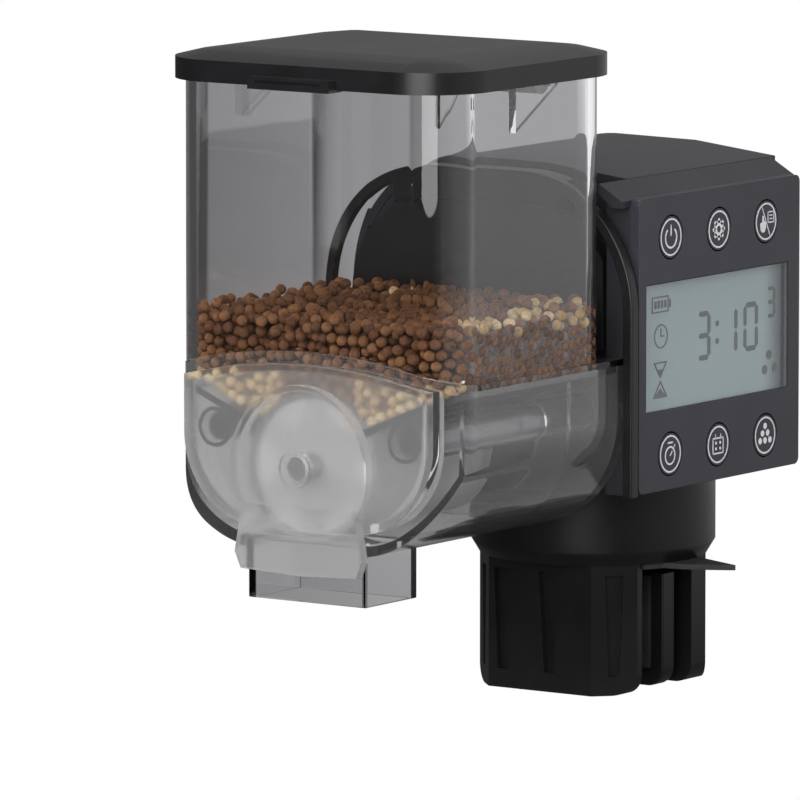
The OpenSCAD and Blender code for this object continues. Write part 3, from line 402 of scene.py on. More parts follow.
FINISH = {
    "black_satin": plastic(
        "black_satin", (0.0045, 0.0045, 0.005), (0.0075, 0.0075, 0.0085), 0.33, 0.10),
    "charcoal": plastic(
        "charcoal", (0.014, 0.014, 0.018), (0.019, 0.019, 0.024), 0.42, 0.08, bump=0.02),
    "panel_print": plastic(
        "panel_print", (0.024, 0.023, 0.032), (0.030, 0.029, 0.039), 0.36, 0.05, bump=0.005),
    "key_print": plastic(
        "key_print", (0.024, 0.023, 0.032), (0.030, 0.029, 0.039), 0.38, 0.05, bump=0.005),
    "soft_rubber": plastic(
        "soft_rubber", (0.018, 0.018, 0.020), (0.030, 0.030, 0.032), 0.72, 0.1, 1600, 0.04),
    "gasket_grey": plastic(
        "gasket_grey", (0.055, 0.055, 0.06), (0.075, 0.075, 0.08), 0.66, 0.08, 1800, 0.03),
    "key_silicone": plastic(
        "key_silicone", (0.40, 0.40, 0.42), (0.50, 0.50, 0.52), 0.6),
    "gear_plastic": plastic(
        "gear_plastic", (0.68, 0.64, 0.55), (0.78, 0.74, 0.66), 0.38),
    "board_green": plastic(
        "board_green", (0.010, 0.075, 0.028), (0.018, 0.11, 0.045), 0.42, coat=0.4),
    "white_print": plastic(
        "white_print", (0.68, 0.67, 0.71), (0.80, 0.79, 0.83), 0.5, grains=5200, bump=0.004),
    "display_ink": plastic(
        "display_ink", (0.008, 0.014, 0.018), (0.014, 0.022, 0.028), 0.45, bump=0.003),
}
print("opaque finishes:", len(FINISH))

# %% [markdown]
# The metal parts are steel and brass. Turned and drawn metal shows fine lines round its
# axis, so the roughness comes from a noise that is stretched along one direction with a
# Mapping node, which needs no texture map.

# %% Metals
def brushed_metal(name, colour, worn, gloss, stretch=(1.0, 0.05, 1.0)):
    finish, tree, shader, _ = blank_material(name)
    coord = node(tree, "ShaderNodeTexCoord")
    mapping = node(tree, "ShaderNodeMapping", Scale=stretch)
    lines = node(tree, "ShaderNodeTexNoise", Scale=900.0, Detail=3.0)
    rough = node(tree, "ShaderNodeMapRange")
    rough.inputs["To Min"].default_value = gloss - 0.08
    rough.inputs["To Max"].default_value = gloss + 0.12
    raised = node(tree, "ShaderNodeBump", Strength=0.6, Distance=0.006 * MM)
    tree.links.new(coord.outputs["Object"], mapping.inputs["Vector"])
    tree.links.new(mapping.outputs["Vector"], lines.inputs["Vector"])
    tree.links.new(lines.outputs["Fac"], rough.inputs["Value"])
    tree.links.new(rough.outputs["Result"], shader.inputs["Roughness"])
    tree.links.new(drifting_colour(tree, lines.outputs["Fac"], worn, colour), shader.inputs["Base Color"])
    tree.links.new(lines.outputs["Fac"], raised.inputs["Height"])
    tree.links.new(raised.outputs["Normal"], shader.inputs["Normal"])
    shader.inputs["Metallic"].default_value = 1.0
    return finish


FINISH["steel"] = brushed_metal("steel", (0.62, 0.62, 0.63), (0.45, 0.45, 0.46), 0.26)
FINISH["brass"] = brushed_metal("brass", (0.72, 0.52, 0.24), (0.52, 0.36, 0.15), 0.28)
FINISH["motor_steel"] = brushed_metal(
    "motor_steel", (0.50, 0.51, 0.52), (0.38, 0.39, 0.40), 0.34, (0.05, 1.0, 0.05))
print("metals:", ["steel", "brass", "motor_steel"])

# %% [markdown]
# ## Plastics that let light through
#
# A clear moulding needs two things. What the eye sees must bend and reflect, so the
# shader is a Principled one with full transmission and the refraction of styrene. What a
# lamp sees must pass, or the pellets inside would sit in the dark, so a Light Path node
# swaps in a Transparent shader for shadow rays. The wall also has the faint waves that
# flowing plastic leaves, as a bump that is much broader than it is deep.

# %% Clear and frosted plastic
def see_through(name, tint, rough, index, lamp_share,
                wave=0.0, wave_size=60.0, spread=0.0, clear=1.0):
    finish, tree, shader, out = blank_material(name)
    shader.inputs["Base Color"].default_value = (*tint, 1)
    shader.inputs["Roughness"].default_value = rough
    shader.inputs["IOR"].default_value = index
    shader.inputs["Transmission Weight"].default_value = clear
    if spread:
        marks = use_group(tree, "handling_marks", middle=rough, spread=spread, size=70.0)
        tree.links.new(marks.outputs["Roughness"], shader.inputs["Roughness"])
    if wave:
        coord = node(tree, "ShaderNodeTexCoord")
        flow = node(tree, "ShaderNodeTexNoise", Scale=wave_size, Detail=1.0)
        raised = node(tree, "ShaderNodeBump", Strength=1.0, Distance=wave * MM)
        tree.links.new(coord.outputs["Object"], flow.inputs["Vector"])
        tree.links.new(flow.outputs["Fac"], raised.inputs["Height"])
        tree.links.new(raised.outputs["Normal"], shader.inputs["Normal"])
    path = node(tree, "ShaderNodeLightPath")
    open_way = node(tree, "ShaderNodeBsdfTransparent")
    open_way.inputs["Color"].default_value = (lamp_share, lamp_share, lamp_share, 1)
    mix = node(tree, "ShaderNodeMixShader")
    tree.links.new(path.outputs["Is Shadow Ray"], mix.inputs[0])
    tree.links.new(shader.outputs[0], mix.inputs[1])
    tree.links.new(open_way.outputs[0], mix.inputs[2])
    tree.links.new(mix.outputs[0], out.inputs["Surface"])
    return finish


FINISH["clear_plastic"] = see_through(
    "clear_plastic", (0.95, 0.95, 0.96), 0.012, 1.49, 0.92, wave=0.004, wave_size=45.0)
FINISH["lens_clear"] = see_through("lens_clear", (0.96, 0.98, 0.98), 0.02, 1.49, 0.95)
FINISH["frosted_plastic"] = see_through(
    "frosted_plastic", (0.97, 0.97, 0.97), 0.31, 1.38, 0.80,
    wave=0.01, wave_size=90.0, spread=0.08, clear=0.95)
FINISH["clear_base"] = see_through(
    "clear_base", (0.97, 0.97, 0.98), 0.015, 1.49, 0.92, wave=0.004, wave_size=45.0, clear=0.985)
FINISH["rotor_plastic"] = see_through(
    "rotor_plastic", (0.62, 0.62, 0.63), 0.45, 1.40, 0.60, spread=0.1, clear=0.6)
print("see-through finishes:",
      ["clear_plastic", "lens_clear", "frosted_plastic", "clear_base", "rotor_plastic"])

# %% [markdown]
# The display is a reflective liquid crystal: a grey-green sheet whose colour darkens along its rear edge, a
# painted shade where the frame shades it. Its place comes from the display node's own box, so the shading
# stays with it if the model changes.

# %% Display sheet
def display_sheet():
    finish, tree, shader, _ = blank_material("display_grey")
    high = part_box("display_module")[1]
    coord = node(tree, "ShaderNodeTexCoord")
    split = node(tree, "ShaderNodeSeparateXYZ")
    rear = node(tree, "ShaderNodeMapRange", interpolation_type="SMOOTHSTEP")
    rear.inputs["From Min"].default_value = high.y - 9.0 * MM
    rear.inputs["From Max"].default_value = high.y - 1.2 * MM
    sheet = node(tree, "ShaderNodeMix", data_type="RGBA")
    sheet.inputs[6].default_value = (0.235, 0.300, 0.318, 1)
    sheet.inputs[7].default_value = (0.030, 0.040, 0.048, 1)
    fine = node(tree, "ShaderNodeTexNoise", Scale=240.0, Detail=2.0)
    rough = node(tree, "ShaderNodeMapRange")
    rough.inputs["To Min"].default_value = 0.38
    rough.inputs["To Max"].default_value = 0.52
    tree.links.new(coord.outputs["Object"], split.inputs[0])
    tree.links.new(coord.outputs["Object"], fine.inputs["Vector"])
    tree.links.new(split.outputs["Y"], rear.inputs["Value"])
    tree.links.new(rear.outputs["Result"], sheet.inputs[0])
    tree.links.new(sheet.outputs[2], shader.inputs["Base Color"])
    tree.links.new(fine.outputs["Fac"], rough.inputs["Value"])
    tree.links.new(rough.outputs["Result"], shader.inputs["Roughness"])
    return finish


FINISH["display_grey"] = display_sheet()

# %% [markdown]
# The cells are two printed jackets with bare steel ends. Both tones come from one
# material that reads how far along the cell a point lies.

# %% Cell jackets
def cell_jacket():
    finish, tree, shader, _ = blank_material("cell_wrap")
    low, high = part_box("battery_cells")
    length = high.y - low.y
    coord = node(tree, "ShaderNodeTexCoord")
    split = node(tree, "ShaderNodeSeparateXYZ")
    along = node(tree, "ShaderNodeMapRange")
    along.inputs["From Min"].default_value = low.y
    along.inputs["From Max"].default_value = high.y
    bands = node(tree, "ShaderNodeValToRGB")
    bands.color_ramp.interpolation = "CONSTANT"
    bands.color_ramp.elements[0].color = (0.55, 0.55, 0.56, 1)
    bands.color_ramp.elements[1].position = 1.2 * MM / length
    bands.color_ramp.elements[1].color = (0.02, 0.055, 0.11, 1)
    for place, colour in ((0.68, (0.60, 0.42, 0.12, 1)), (0.96, (0.55, 0.55, 0.56, 1))):
        step = bands.color_ramp.elements.new(place)
        step.color = colour
    marks = use_group(tree, "handling_marks", middle=0.28, spread=0.08)
    tree.links.new(coord.outputs["Object"], split.inputs[0])
    tree.links.new(split.outputs["Y"], along.inputs["Value"])
    tree.links.new(along.outputs["Result"], bands.inputs["Fac"])
    tree.links.new(bands.outputs["Color"], shader.inputs["Base Color"])
    tree.links.new(marks.outputs["Roughness"], shader.inputs["Roughness"])
    return finish


FINISH["cell_wrap"] = cell_jacket()

# %% [markdown]
# Pressed food pellets are matt and slightly pitted, and no two have quite the same tone.
# Each pellet carries a number of its own in an attribute named tone, and the colour is read from it: two
# browns mixed by the number, with painted shade that darkens the pits.

# %% Pellet finishes
def pellet_finish(name, dark, middle, light):
    finish, tree, shader, _ = blank_material(name)
    tone = node(tree, "ShaderNodeAttribute", attribute_name="tone")
    ramp = tree.nodes.new("ShaderNodeValToRGB")
    ramp.color_ramp.elements[0].color = (*dark, 1)
    ramp.color_ramp.elements[1].color = (*light, 1)
    ramp.color_ramp.elements.new(0.5).color = (*middle, 1)
    coord = node(tree, "ShaderNodeTexCoord")
    pits = node(tree, "ShaderNodeTexNoise", Scale=1500.0, Detail=4.0, Roughness=0.65)
    # painted shade: the colour is darkened where the pit noise is low, in the pits of the bump
    shade = node(tree, "ShaderNodeMapRange")
    shade.inputs["From Min"].default_value = 0.3
    shade.inputs["From Max"].default_value = 0.6
    shade.inputs["To Min"].default_value = 0.62
    shade.inputs["To Max"].default_value = 1.06
    tinted = node(tree, "ShaderNodeVectorMath", operation="SCALE")
    raised = node(tree, "ShaderNodeBump", Strength=0.8, Distance=0.08 * MM)
    tree.links.new(tone.outputs["Fac"], ramp.inputs["Fac"])
    tree.links.new(coord.outputs["Object"], pits.inputs["Vector"])
    tree.links.new(pits.outputs["Fac"], shade.inputs["Value"])
    tree.links.new(ramp.outputs["Color"], tinted.inputs[0])
    tree.links.new(shade.outputs["Result"], tinted.inputs["Scale"])
    tree.links.new(tinted.outputs["Vector"], shader.inputs["Base Color"])
    tree.links.new(pits.outputs["Fac"], raised.inputs["Height"])
    tree.links.new(raised.outputs["Normal"], shader.inputs["Normal"])
    shader.inputs["Roughness"].default_value = 0.5
    return finish


FINISH["food_brown"] = pellet_finish(
    "food_brown", (0.095, 0.036, 0.012), (0.165, 0.066, 0.023), (0.26, 0.118, 0.046))
FINISH["food_tan"] = pellet_finish(
    "food_tan", (0.46, 0.29, 0.12), (0.62, 0.43, 0.20), (0.80, 0.63, 0.36))
print("finishes in all:", len(FINISH))

# %% [markdown]
# ## Mouldings with soft edges
#
# No moulded edge is knife sharp: even a crisp one has a radius of a few tenths of a
# millimetre, and that is what catches the light and makes an object look real. The
# engineering solids have true sharp edges, so each moulding that shows is copied, its
# doubled corners are merged, the triangles of its flat faces are dissolved, and a Bevel
# modifier rolls every edge above a limit angle. The copy then stands for the node. The
# bevel only takes material away, so the moulding keeps its outer size.

# %% Soft-edged copy of a node
NODE_BODY = {n: b for b, members in frame["record"]["behaviour"]["bodies"].items() for n in members}
NODE_SLOT = {row["node"]: row["material_slot"] for row in frame["record"]["subparts"]}


def merged_copy(source, name):
    pick(frame["nodes"][source])
    bpy.ops.object.duplicate()
    piece = bpy.context.active_object
    piece.name = piece.data.name = name
    piece.parent = None
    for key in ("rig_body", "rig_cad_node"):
        del piece[key]
    piece.data.materials.clear()
    bpy.ops.mesh.customdata_custom_splitnormals_clear()
    bpy.ops.object.mode_set(mode="EDIT")
    bpy.ops.mesh.select_all(action="SELECT")
    bpy.ops.mesh.remove_doubles(threshold=0.004 * MM)
    bpy.ops.mesh.dissolve_limited(angle_limit=math.radians(0.4))
    bpy.ops.object.mode_set(mode="OBJECT")
    return piece


def soft_edged(source, edge, segments=3, limit=32, finish=None, name=None):
    """A copy of a node whose sharp edges are rolled to a radius of about edge millimetres."""
    piece = merged_copy(source, name or source + "_moulding")
    bevel = piece.modifiers.new("rolled_edges", "BEVEL")
    bevel.width = edge * MM
    bevel.segments = segments
    bevel.limit_method = "ANGLE"
    bevel.angle_limit = math.radians(limit)
    bevel.use_clamp_overlap = True
    bevel.harden_normals = False
    apply_modifiers(piece)
    pick(piece)
    bpy.ops.object.shade_smooth_by_angle(angle=math.radians(40))
    weighted = piece.modifiers.new("flat_faces_first", "WEIGHTED_NORMAL")
    weighted.keep_sharp = True
    weighted.weight = 100
    apply_modifiers(piece)
    piece.data.materials.append(FINISH[finish or NODE_SLOT[source]])
    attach(piece, NODE_BODY[source])
    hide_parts(source)
    print(f"{piece.name}: {len(piece.data.polygons)} faces")
    return piece


# %% [markdown]
# The first mouldings are the dark ones: lid, housing, collar, clamp and knob.

# %% Dark mouldings
DARK_EDGES = {
    "hopper_lid": 0.6, "clamp_base": 0.45, "clamp_plate": 0.4, "clamp_screw": 0.3,
    "main_shell": 0.5, "panel_frame": 0.35, "hopper_collar": 0.35, "front_plate": 0.35,
    "front_casing": 0.25, "drive_nose": 0.3, "support_pins": 0.3, "battery_door": 0.25,
    "seat_pad": 0.12, "panel_face": 0.4,
}
for source, edge in DARK_EDGES.items():
    soft_edged(source, edge)

# %% [markdown]
# The see-through mouldings get the same treatment. A rolled edge matters even more on
# clear plastic, because it gathers light into the bright lines that draw its outline.

# %% See-through mouldings
OWN_FINISH = {"hopper_base": "clear_base"}
CLEAR_EDGES = {
    "hopper_box": 0.3, "hopper_base": 0.35, "front_cover": 0.5, "outlet_chute": 0.3,
    "hopper_funnel": 0.25, "rear_bulkhead": 0.2, "rotor_cup": 0.25, "dosing_rotor": 0.3,
    "guide_tubes": 0.2,
}
for source, edge in CLEAR_EDGES.items():
    soft_edged(source, edge, finish=OWN_FINISH.get(source))

# %% [markdown]
# Everything else keeps its engineering shape and takes the finish of its slot.

# %% Finishes on the remaining nodes
for name, item in frame["nodes"].items():
    item.data.materials.clear()
    item.data.materials.append(FINISH[NODE_SLOT[name]])
print("nodes dressed:", len(frame["nodes"]))

# %% [markdown]
# ## The pellets
#
# The engineering model has one closed solid for the food. The real thing is thousands
# of small balls, so they are laid out one by one. The room they may fill comes from the
# nodes round it: the box's walls, the sloping funnel floor and the cup of the drum. A
# close-packed grid is shaken, and then settles for some rounds in which touching
# pellets push each other apart while the walls push back.

# %% Room for the pellets
PELLET_R = 1.25 * MM
WALL = 2.0 * MM
CORNER_R = 8.0 * MM
box_low, box_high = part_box("hopper_box")
cup_low, cup_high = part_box("rotor_cup")
floor_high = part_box("hopper_funnel")[1]
food_low, food_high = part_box("food_pellets")
room_x = box_high.x - WALL - PELLET_R
room_front = max(box_low.y + WALL, food_low.y) + PELLET_R
room_rear = food_high.y + 1.0 * MM - PELLET_R
cup_r = (cup_high.x - cup_low.x) / 2
cup_z = cup_high.z - cup_r
inner_x = cup_r - 2.3 * MM
inner_z = cup_z + math.sqrt(cup_r ** 2 - inner_x ** 2)
slope = math.atan2(floor_high.z - inner_z, floor_high.x - inner_x)
print("heap between y", round(room_front * 1000, 1), "and", round(room_rear * 1000, 1), "mm")


def heap_top(x, y):
    """Height of the heap: nearly level, with the soft waves that pouring leaves."""
    wave = np.sin(x * 95 + 0.6) * np.cos(y * 120 + 1.0) + 0.6 * np.sin(x * 210 + y * 170)
    return food_high.z - 3.9 * MM + 0.55 * MM * wave + 0.018 * (x * -0.6 + y + 0.07)


def keep_in_room(points):
    """Moves every centre back between the walls, above the floor and off the cup."""
    x, y, z = points.T
    np.clip(x, -room_x, room_x, out=x)
    np.clip(y, room_front, room_rear, out=y)
    corner_x = np.abs(x) - (room_x - CORNER_R + PELLET_R)
    corner_y = np.maximum(room_front + CORNER_R - PELLET_R - y,
                          y - room_rear + CORNER_R - PELLET_R)
    reach = np.hypot(corner_x, corner_y)
    tight = (corner_x > 0) & (corner_y > 0) & (reach > CORNER_R - PELLET_R)
    scale = np.where(tight, (CORNER_R - PELLET_R) / np.maximum(reach, 1e-9), 1.0)
    x -= np.where(tight, np.sign(x) * corner_x * (1 - scale), 0)
    front = y < (room_front + room_rear) / 2
    y += np.where(tight, np.where(front, 1, -1) * corner_y * (1 - scale), 0)
    rest = (inner_z + (np.abs(x) - inner_x) * math.tan(slope)
            + (PELLET_R + 0.15 * MM) / math.cos(slope))
    np.maximum(z, np.where(np.abs(x) > inner_x - 1 * MM, rest, z), out=z)
    off = np.hypot(x, z - cup_z)
    lift = (off < cup_r + PELLET_R) & (z > cup_z)
    over = np.sqrt(np.maximum((cup_r + PELLET_R) ** 2 - x ** 2, 0)) + cup_z
    z[:] = np.where(lift, np.maximum(z, over), z)


# %% Close-packed grid, shaken
SHAKE_SEED, SHAKE = 12, 0.62 * MM
SETTLE_TURNS, TURNS_PER_SEARCH = 48, 6
rng = np.random.default_rng(SHAKE_SEED)
STEP = 2 * PELLET_R * 1.035
rows = []
level, k = inner_z, 0
while level < food_high.z + 2 * MM:
    y, j = room_front - STEP, 0
    while y < room_rear + STEP:
        start = -room_x - STEP + (STEP / 2 if (j + k) % 2 else 0)
        for x in np.arange(start, room_x + STEP, STEP):
            rows.append((x, y + (STEP * 0.29 if k % 2 else 0), level))
        y, j = y + STEP * 0.866, j + 1
    level, k = level + STEP * 0.816, k + 1
heap = np.array(rows)
heap += rng.normal(0, SHAKE, heap.shape)
inside = (np.abs(heap[:, 0]) < room_x + 0.4 * MM) & (heap[:, 1] > room_front - 0.4 * MM)
inside &= (heap[:, 1] < room_rear + 0.4 * MM) & (heap[:, 2] < heap_top(heap[:, 0], heap[:, 1]))
inside &= heap[:, 2] > inner_z + (np.abs(heap[:, 0]) - inner_x) * math.tan(slope) + 0.6 * MM
inside &= np.hypot(heap[:, 0], heap[:, 2] - cup_z) > cup_r + 0.6 * MM
heap = heap[inside]
keep_in_room(heap)
print("pellets laid out:", len(heap))


# %% Settling
def neighbours(points, reach):
    tree = kdtree.KDTree(len(points))
    for i, point in enumerate(points):
        tree.insert(point, i)
    tree.balance()
    return np.array([(i, j) for i, point in enumerate(points)
                     for _, j, _ in tree.find_range(point, reach) if j > i])


for turn in range(SETTLE_TURNS):
    if turn % TURNS_PER_SEARCH == 0:
        pairs = neighbours(heap, 3.1 * MM)
    gap = heap[pairs[:, 1]] - heap[pairs[:, 0]]
    length = np.linalg.norm(gap, axis=1)
    push = np.maximum(2 * PELLET_R - length, 0)[:, None] * gap / length[:, None] * 0.35
    np.add.at(heap, pairs[:, 0], -push)
    np.add.at(heap, pairs[:, 1], push)
    heap[:, 2] -= 0.02 * MM
    keep_in_room(heap)
print("closest pair after settling, mm:", round(float(length.min()) * 1000, 2))

# %% [markdown]
# Only the pellets near a wall, near the top or over the sloping floor can ever be seen, so the heart of the
# heap is left empty. Most of the food is brown. Some of it is a paler kind that has run to the two upper
# corners behind the front cover, and most of the pellets on top towards the back at the display side are
# made pale as well.

# %% Which pellets show, and which are pale
x, y, z = heap.T
depth = np.minimum.reduce(
    [room_x - np.abs(x), y - room_front, room_rear - y, food_high.z - 2.3 * MM - z])
seen = (depth < 4.4 * MM) | (z < 45.5 * MM)
heap = heap[seen]
x, y, z = heap.T
behind_cover = (y < room_front + 7 * MM) & (z < 48.6 * MM) & (np.abs(x) > 9 * MM)
# most of the top pellets towards the back at the display side are made pale
on_top = (z > food_high.z - 7.6 * MM) & (x > 23 * MM) & (y > -96 * MM)
pale = (behind_cover & (rng.random(len(heap)) < 0.93)) | (on_top & (rng.random(len(heap)) < 0.66))
pale |= (rng.random(len(heap)) < 0.006) & (y > -70 * MM)
print("pellets kept:", len(heap), "of which pale:", int(pale.sum()))

# %% [markdown]
# One pellet is modelled: an icosphere, flattened a little and pinched by a few
# hundredths so that it isn't a perfect ball. The heap repeats it at every place, turned
# and sized at random. With so many copies, objects would be slow, so their corners are
# written straight into one mesh for each kind of food.

# %% One pellet
bpy.ops.mesh.primitive_ico_sphere_add(subdivisions=2, radius=PELLET_R)
model_pellet = bpy.context.active_object
bpy.ops.object.mode_set(mode="EDIT")
bpy.ops.mesh.select_all(action="SELECT")
bpy.ops.transform.resize(value=(1.0, 0.96, 0.92))
bpy.ops.transform.vertex_random(offset=0.04 * MM, seed=4)
bpy.ops.object.mode_set(mode="OBJECT")
pellet_points = np.array([v.co for v in model_pellet.data.vertices])
pellet_faces = np.array([f.vertices for f in model_pellet.data.polygons])
bpy.data.objects.remove(model_pellet)
print("faces on a pellet:", len(pellet_faces))


# %% Heap of pellets
def turned(points, angles):
    """The pellet's points turned about X and then Z, for every copy at once."""
    a, b = angles.T[:, :, None]
    px, py, pz = points.T[:, None, :]
    qy, qz = py * np.cos(a) - pz * np.sin(a), py * np.sin(a) + pz * np.cos(a)
    return np.stack([px * np.cos(b) - qy * np.sin(b), px * np.sin(b) + qy * np.cos(b), qz], axis=-1)


def pellet_piece(name, places, finish):
    many = len(places)
    shapes = turned(pellet_points, rng.uniform(0, 2 * math.pi, (many, 2)))
    shapes *= rng.uniform(0.93, 1.0, (many, 1, 1))
    points = (shapes + places[:, None, :]).reshape(-1, 3)
    faces = (pellet_faces[None] + len(pellet_points) * np.arange(many)[:, None, None]).reshape(-1, 3)
    mesh = bpy.data.meshes.new(name)
    mesh.from_pydata(points.tolist(), [], faces.tolist())
    tone = mesh.attributes.new("tone", "FLOAT", "POINT")
    tone.data.foreach_set("value", np.repeat(rng.random(many), len(pellet_points)).astype(np.float32))
    mesh.polygons.foreach_set("use_smooth", np.ones(len(faces), dtype=bool))
    mesh.materials.append(FINISH[finish])
    piece = bpy.data.objects.new(name, mesh)
    bpy.context.collection.objects.link(piece)
    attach(piece, "hopper")
    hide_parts("food_pellets")
    print(name, many, "pellets,", len(faces), "faces")


brown = heap[~pale]
middle_y = (room_front + room_rear) / 2
pellet_piece("brown_pellets_front", brown[brown[:, 1] < middle_y], "food_brown")
pellet_piece("brown_pellets_rear", brown[brown[:, 1] >= middle_y], "food_brown")
pellet_piece("pale_pellets", heap[pale], "food_tan")

# %% [markdown]
# ## Display and key prints
#
# The segments of a liquid crystal are thin dark shapes between its glass and the lens,
# and the key signs are white ink on the caps. Both are laid as flat outlines in the
# panel's plane and given a few hundredths of a millimetre of thickness with a Solidify
# modifier, so each mark is a true closed shape that catches light at its edge.

# %% Flat marks
def rounded_line(points, width, closed=False):
    """Outlines that follow a line of points: one bar per stretch, and a dot at each joint."""
    shapes = []
    count = len(points) if closed else len(points) - 1
    for i in range(count):
        (ay, az), (by, bz) = points[i], points[(i + 1) % len(points)]
        reach = math.hypot(by - ay, bz - az)
        ny, nz = -(bz - az) / reach * width / 2, (by - ay) / reach * width / 2
        shapes.append([(ay + ny, az + nz), (ay - ny, az - nz), (by - ny, bz - nz), (by + ny, bz + nz)])
    for y, z in points:
        shapes.append(disc(y, z, width / 2, 10))
    return shapes


def disc(y, z, r, sides=24):
    return [(y + r * math.cos(a), z + r * math.sin(a))
            for a in (2 * math.pi * i / sides for i in range(sides))]


def arc(y, z, r, start, stop, width, sides=40):
    """A stroke along part of a circle, as short bars; angles in degrees."""
    turns = [math.radians(start + (stop - start) * i / sides) for i in range(sides + 1)]
    inner, outer = r - width / 2, r + width / 2
    return [[(y + inner * math.cos(a), z + inner * math.sin(a)),
             (y + inner * math.cos(b), z + inner * math.sin(b)),
             (y + outer * math.cos(b), z + outer * math.sin(b)),
             (y + outer * math.cos(a), z + outer * math.sin(a))]
            for a, b in zip(turns, turns[1:])]


def print_piece(name, shapes, x, thickness, finish, body, centre=(0, 0)):
    """Joins flat outlines, given in mm round a centre, into one thin raised print."""
    points, faces = [], []
    for shape in shapes:
        turn = sum(ay * bz - by * az for (ay, az), (by, bz) in zip(shape, shape[1:] + shape[:1]))
        if turn < 0:
            shape = shape[::-1]
        faces.append(list(range(len(points), len(points) + len(shape))))
        points += [(x, (centre[0] + y) * MM, (centre[1] + z) * MM) for y, z in shape]
    mesh = bpy.data.meshes.new(name)
    mesh.from_pydata(points, [], faces)
    piece = bpy.data.objects.new(name, mesh)
    bpy.context.collection.objects.link(piece)
    pick(piece)
    bpy.ops.object.mode_set(mode="EDIT")
    bpy.ops.mesh.select_all(action="SELECT")
    bpy.ops.mesh.remove_doubles(threshold=0.002 * MM)
    bpy.ops.object.mode_set(mode="OBJECT")
    skin = piece.modifiers.new("ink_thickness", "SOLIDIFY")
    skin.thickness = thickness * MM
    skin.offset = 1.0
    apply_modifiers(piece)
    mesh.materials.append(FINISH[finish])
    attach(piece, body)
    print(name, len(piece.data.polygons), "faces")
    return piece


# %% [markdown]
# The display's digits are built from the seven bars that every such display uses. A bar
# is a long hexagon, so neighbouring bars meet in a thin slanted gap.

# %% Seven-bar digits
BARS_OF = {"0": "abcdef", "1": "bc", "3": "abcdg"}


def bar(ay, az, by, bz, width):
    reach = math.hypot(by - ay, bz - az)
    uy, uz = (by - ay) / reach, (bz - az) / reach
    h = width / 2
    return [(ay, az), (ay + uy * h - uz * h, az + uz * h + uy * h),
            (by - uy * h - uz * h, bz - uz * h + uy * h), (by, bz),
            (by - uy * h + uz * h, bz - uz * h - uy * h),
            (ay + uy * h + uz * h, az + uz * h - uy * h)]


def digit(sign, left, low, wide, tall, width, slit=0.16):
    right_side, top, mid = left + wide, low + tall, low + tall / 2
    ends = {"a": (left, top, right_side, top), "b": (right_side, mid, right_side, top),
            "c": (right_side, low, right_side, mid), "d": (left, low, right_side, low),
            "e": (left, low, left, mid), "f": (left, mid, left, top), "g": (left, mid, right_side, mid)}
    shapes = []
    for name in BARS_OF[sign]:
        ay, az, by, bz = ends[name]
        reach = math.hypot(by - ay, bz - az)
        uy, uz = (by - ay) / reach * slit, (bz - az) / reach * slit
        shapes.append(bar(ay + uy, az + uz, by - uy, bz - uz, width))
    return shapes


# %% Display marks
module_low, module_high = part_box("display_module")
window = ((module_low.y + module_high.y) / 2 * 1000, (module_low.z + module_high.z) / 2 * 1000)
marks = []
marks += digit("3", -5.35, -4.1, 4.0, 9.2, 1.1)
marks += [disc(1.8, 2.6, 0.62, 16), disc(1.8, -1.1, 0.62, 16)]
marks += digit("1", 5.1, -4.1, 3.9, 9.2, 1.1)
marks += digit("0", 12.55, -3.9, 4.4, 9.2, 1.1)
marks += digit("3", 21.35, 2.2, 2.6, 5.8, 0.8)
marks += [disc(21.9, -6.0, 1.0), disc(20.25, -9.0, 1.0), disc(24.1, -8.9, 1.0)]
left = -22.9
marks += rounded_line([(left, 7.1), (left + 6.0, 7.1), (left + 6.0, 10.2), (left, 10.2)], 0.3, True)
marks += rounded_line([(left + 6.7, 8.0), (left + 6.7, 9.3)], 0.5)
marks += [[(left + 0.8 + i * 1.25, 7.85), (left + 1.6 + i * 1.25, 7.85),
           (left + 1.6 + i * 1.25, 9.45), (left + 0.8 + i * 1.25, 9.45)] for i in range(4)]
marks += arc(-19.6, 2.0, 2.4, 0, 360, 0.3)
marks += rounded_line([(-19.6, 3.5), (-19.6, 2.0), (-18.5, 2.0)], 0.3)
marks += rounded_line([(-22.1, -3.5), (-17.5, -3.5), (-19.8, -6.5)], 0.32, True)
marks += rounded_line([(-22.2, -10.7), (-17.4, -10.7), (-19.8, -7.4)], 0.32, True)
marks += [[(-20.9, -4.9), (-18.7, -4.9), (-19.8, -6.4)], [(-21.7, -10.5), (-17.9, -10.5), (-19.8, -8.9)]]
print_piece("display_digits", marks, module_high.x + 0.05 * MM, 0.08, "display_ink",
            "housing", window)


# %% [markdown]
# Each key sign is a ring with a small picture: power, settings, feed by hand, timer,
# schedule and portion. They are drawn round the middle of their own key and ride on it,
# so a pressed key takes its sign along.

# %% Key signs
def ringed(shapes):
    return arc(0, 0, 3.75, 0, 360, 0.36, 56) + shapes


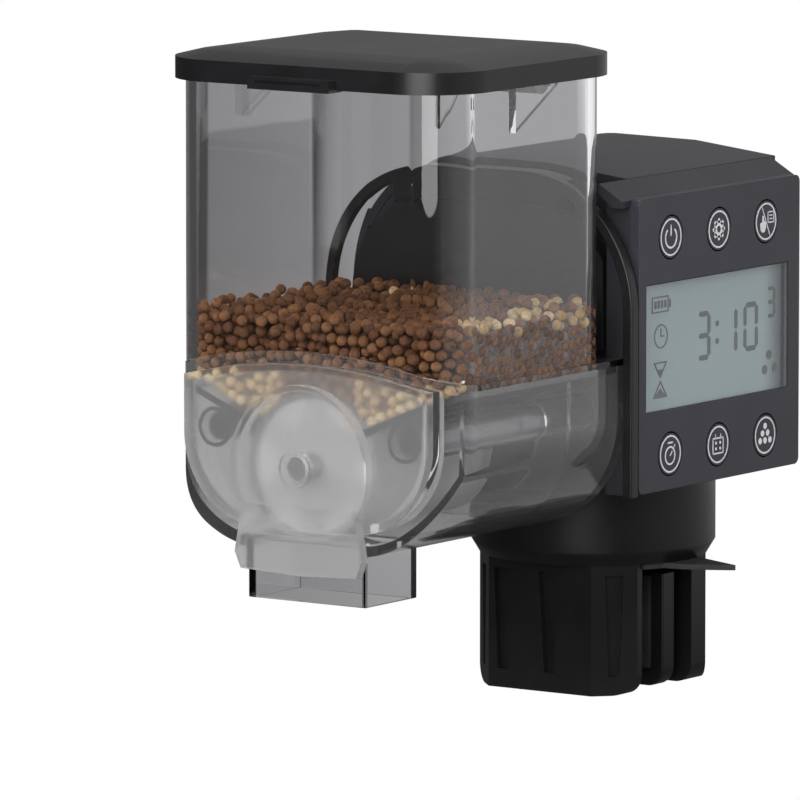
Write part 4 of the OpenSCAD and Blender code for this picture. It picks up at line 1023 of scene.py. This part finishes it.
def gear_wheel(r_in, r_out, teeth):
    shapes = arc(0, 0, (r_in + 0.75) / 2 + 0.1, 0, 360, r_in - 0.5, 32)
    for i in range(teeth):
        a = 2 * math.pi * i / teeth
        c, q = math.cos(a), math.sin(a)
        shapes.append([(r * c - w * q, r * q + w * c) for r, w in
                       ((r_in - 0.3, -0.44), (r_out, -0.32), (r_out, 0.32), (r_in - 0.3, 0.44))])
    return shapes


hand = [(-2.3, -0.3), (-2.1, -1.7), (-1.5, -2.3), (-0.5, -2.2), (0.0, -1.2), (-0.1, -0.2), (-0.7, 0.1),
        (-0.9, 1.2), (-1.4, 1.3), (-1.5, 0.0)]
SIGNS = {
    "key_power": ringed(arc(0, -0.1, 2.1, 128, 412, 0.42) + rounded_line([(0, 0.4), (0, 2.4)], 0.42)),
    "key_settings": ringed(gear_wheel(1.6, 2.3, 8)),
    "key_manual": ringed(rounded_line([(-1.5, 3.0), (1.5, -3.0)], 0.26) + [hand]
                         + rounded_line([(0.75, 1.9), (3.0, 1.9), (3.0, -0.3), (0.75, -0.3)], 0.26, True)
                         + rounded_line([(1.3, 1.15), (2.4, 1.15)], 0.24)
                         + rounded_line([(1.3, 0.45), (2.4, 0.45)], 0.24)),
    "key_timer": ringed(arc(-0.1, -0.35, 1.8, 0, 360, 0.38) + rounded_line([(-0.9, 2.35), (0.8, 2.35)], 0.4)
                        + rounded_line([(-0.1, -0.35), (0.7, 0.5)], 0.34)
                        + rounded_line([(1.35, 1.35), (1.75, 1.75)], 0.36)),
    "key_schedule": ringed(rounded_line([(-1.95, 1.35), (1.95, 1.35),
                                         (1.95, -1.85), (-1.95, -1.85)], 0.32, True)
                           + rounded_line([(-1.0, 1.2), (-1.0, 2.1)], 0.34)
                           + rounded_line([(1.0, 1.2), (1.0, 2.1)], 0.34)
                           + [disc(dy, dz, 0.34, 12) for dy in (-0.8, 0.8) for dz in (0.35, -0.85)]),
    "key_portion": ringed([disc(dy, dz, 0.68, 20) for dy, dz in
                           ((0, 1.95), (-1.0, 0.45), (1.0, 0.45), (-1.9, -1.1), (0, -1.1), (1.9, -1.1))]),
}
for key, shapes in SIGNS.items():
    low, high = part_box(key)
    middle = ((low.y + high.y) / 2 * 1000, (low.z + high.z) / 2 * 1000)
    print_piece(key + "_sign", shapes, high.x - 0.01 * MM, 0.03,
                "white_print", NODE_BODY[key], middle)
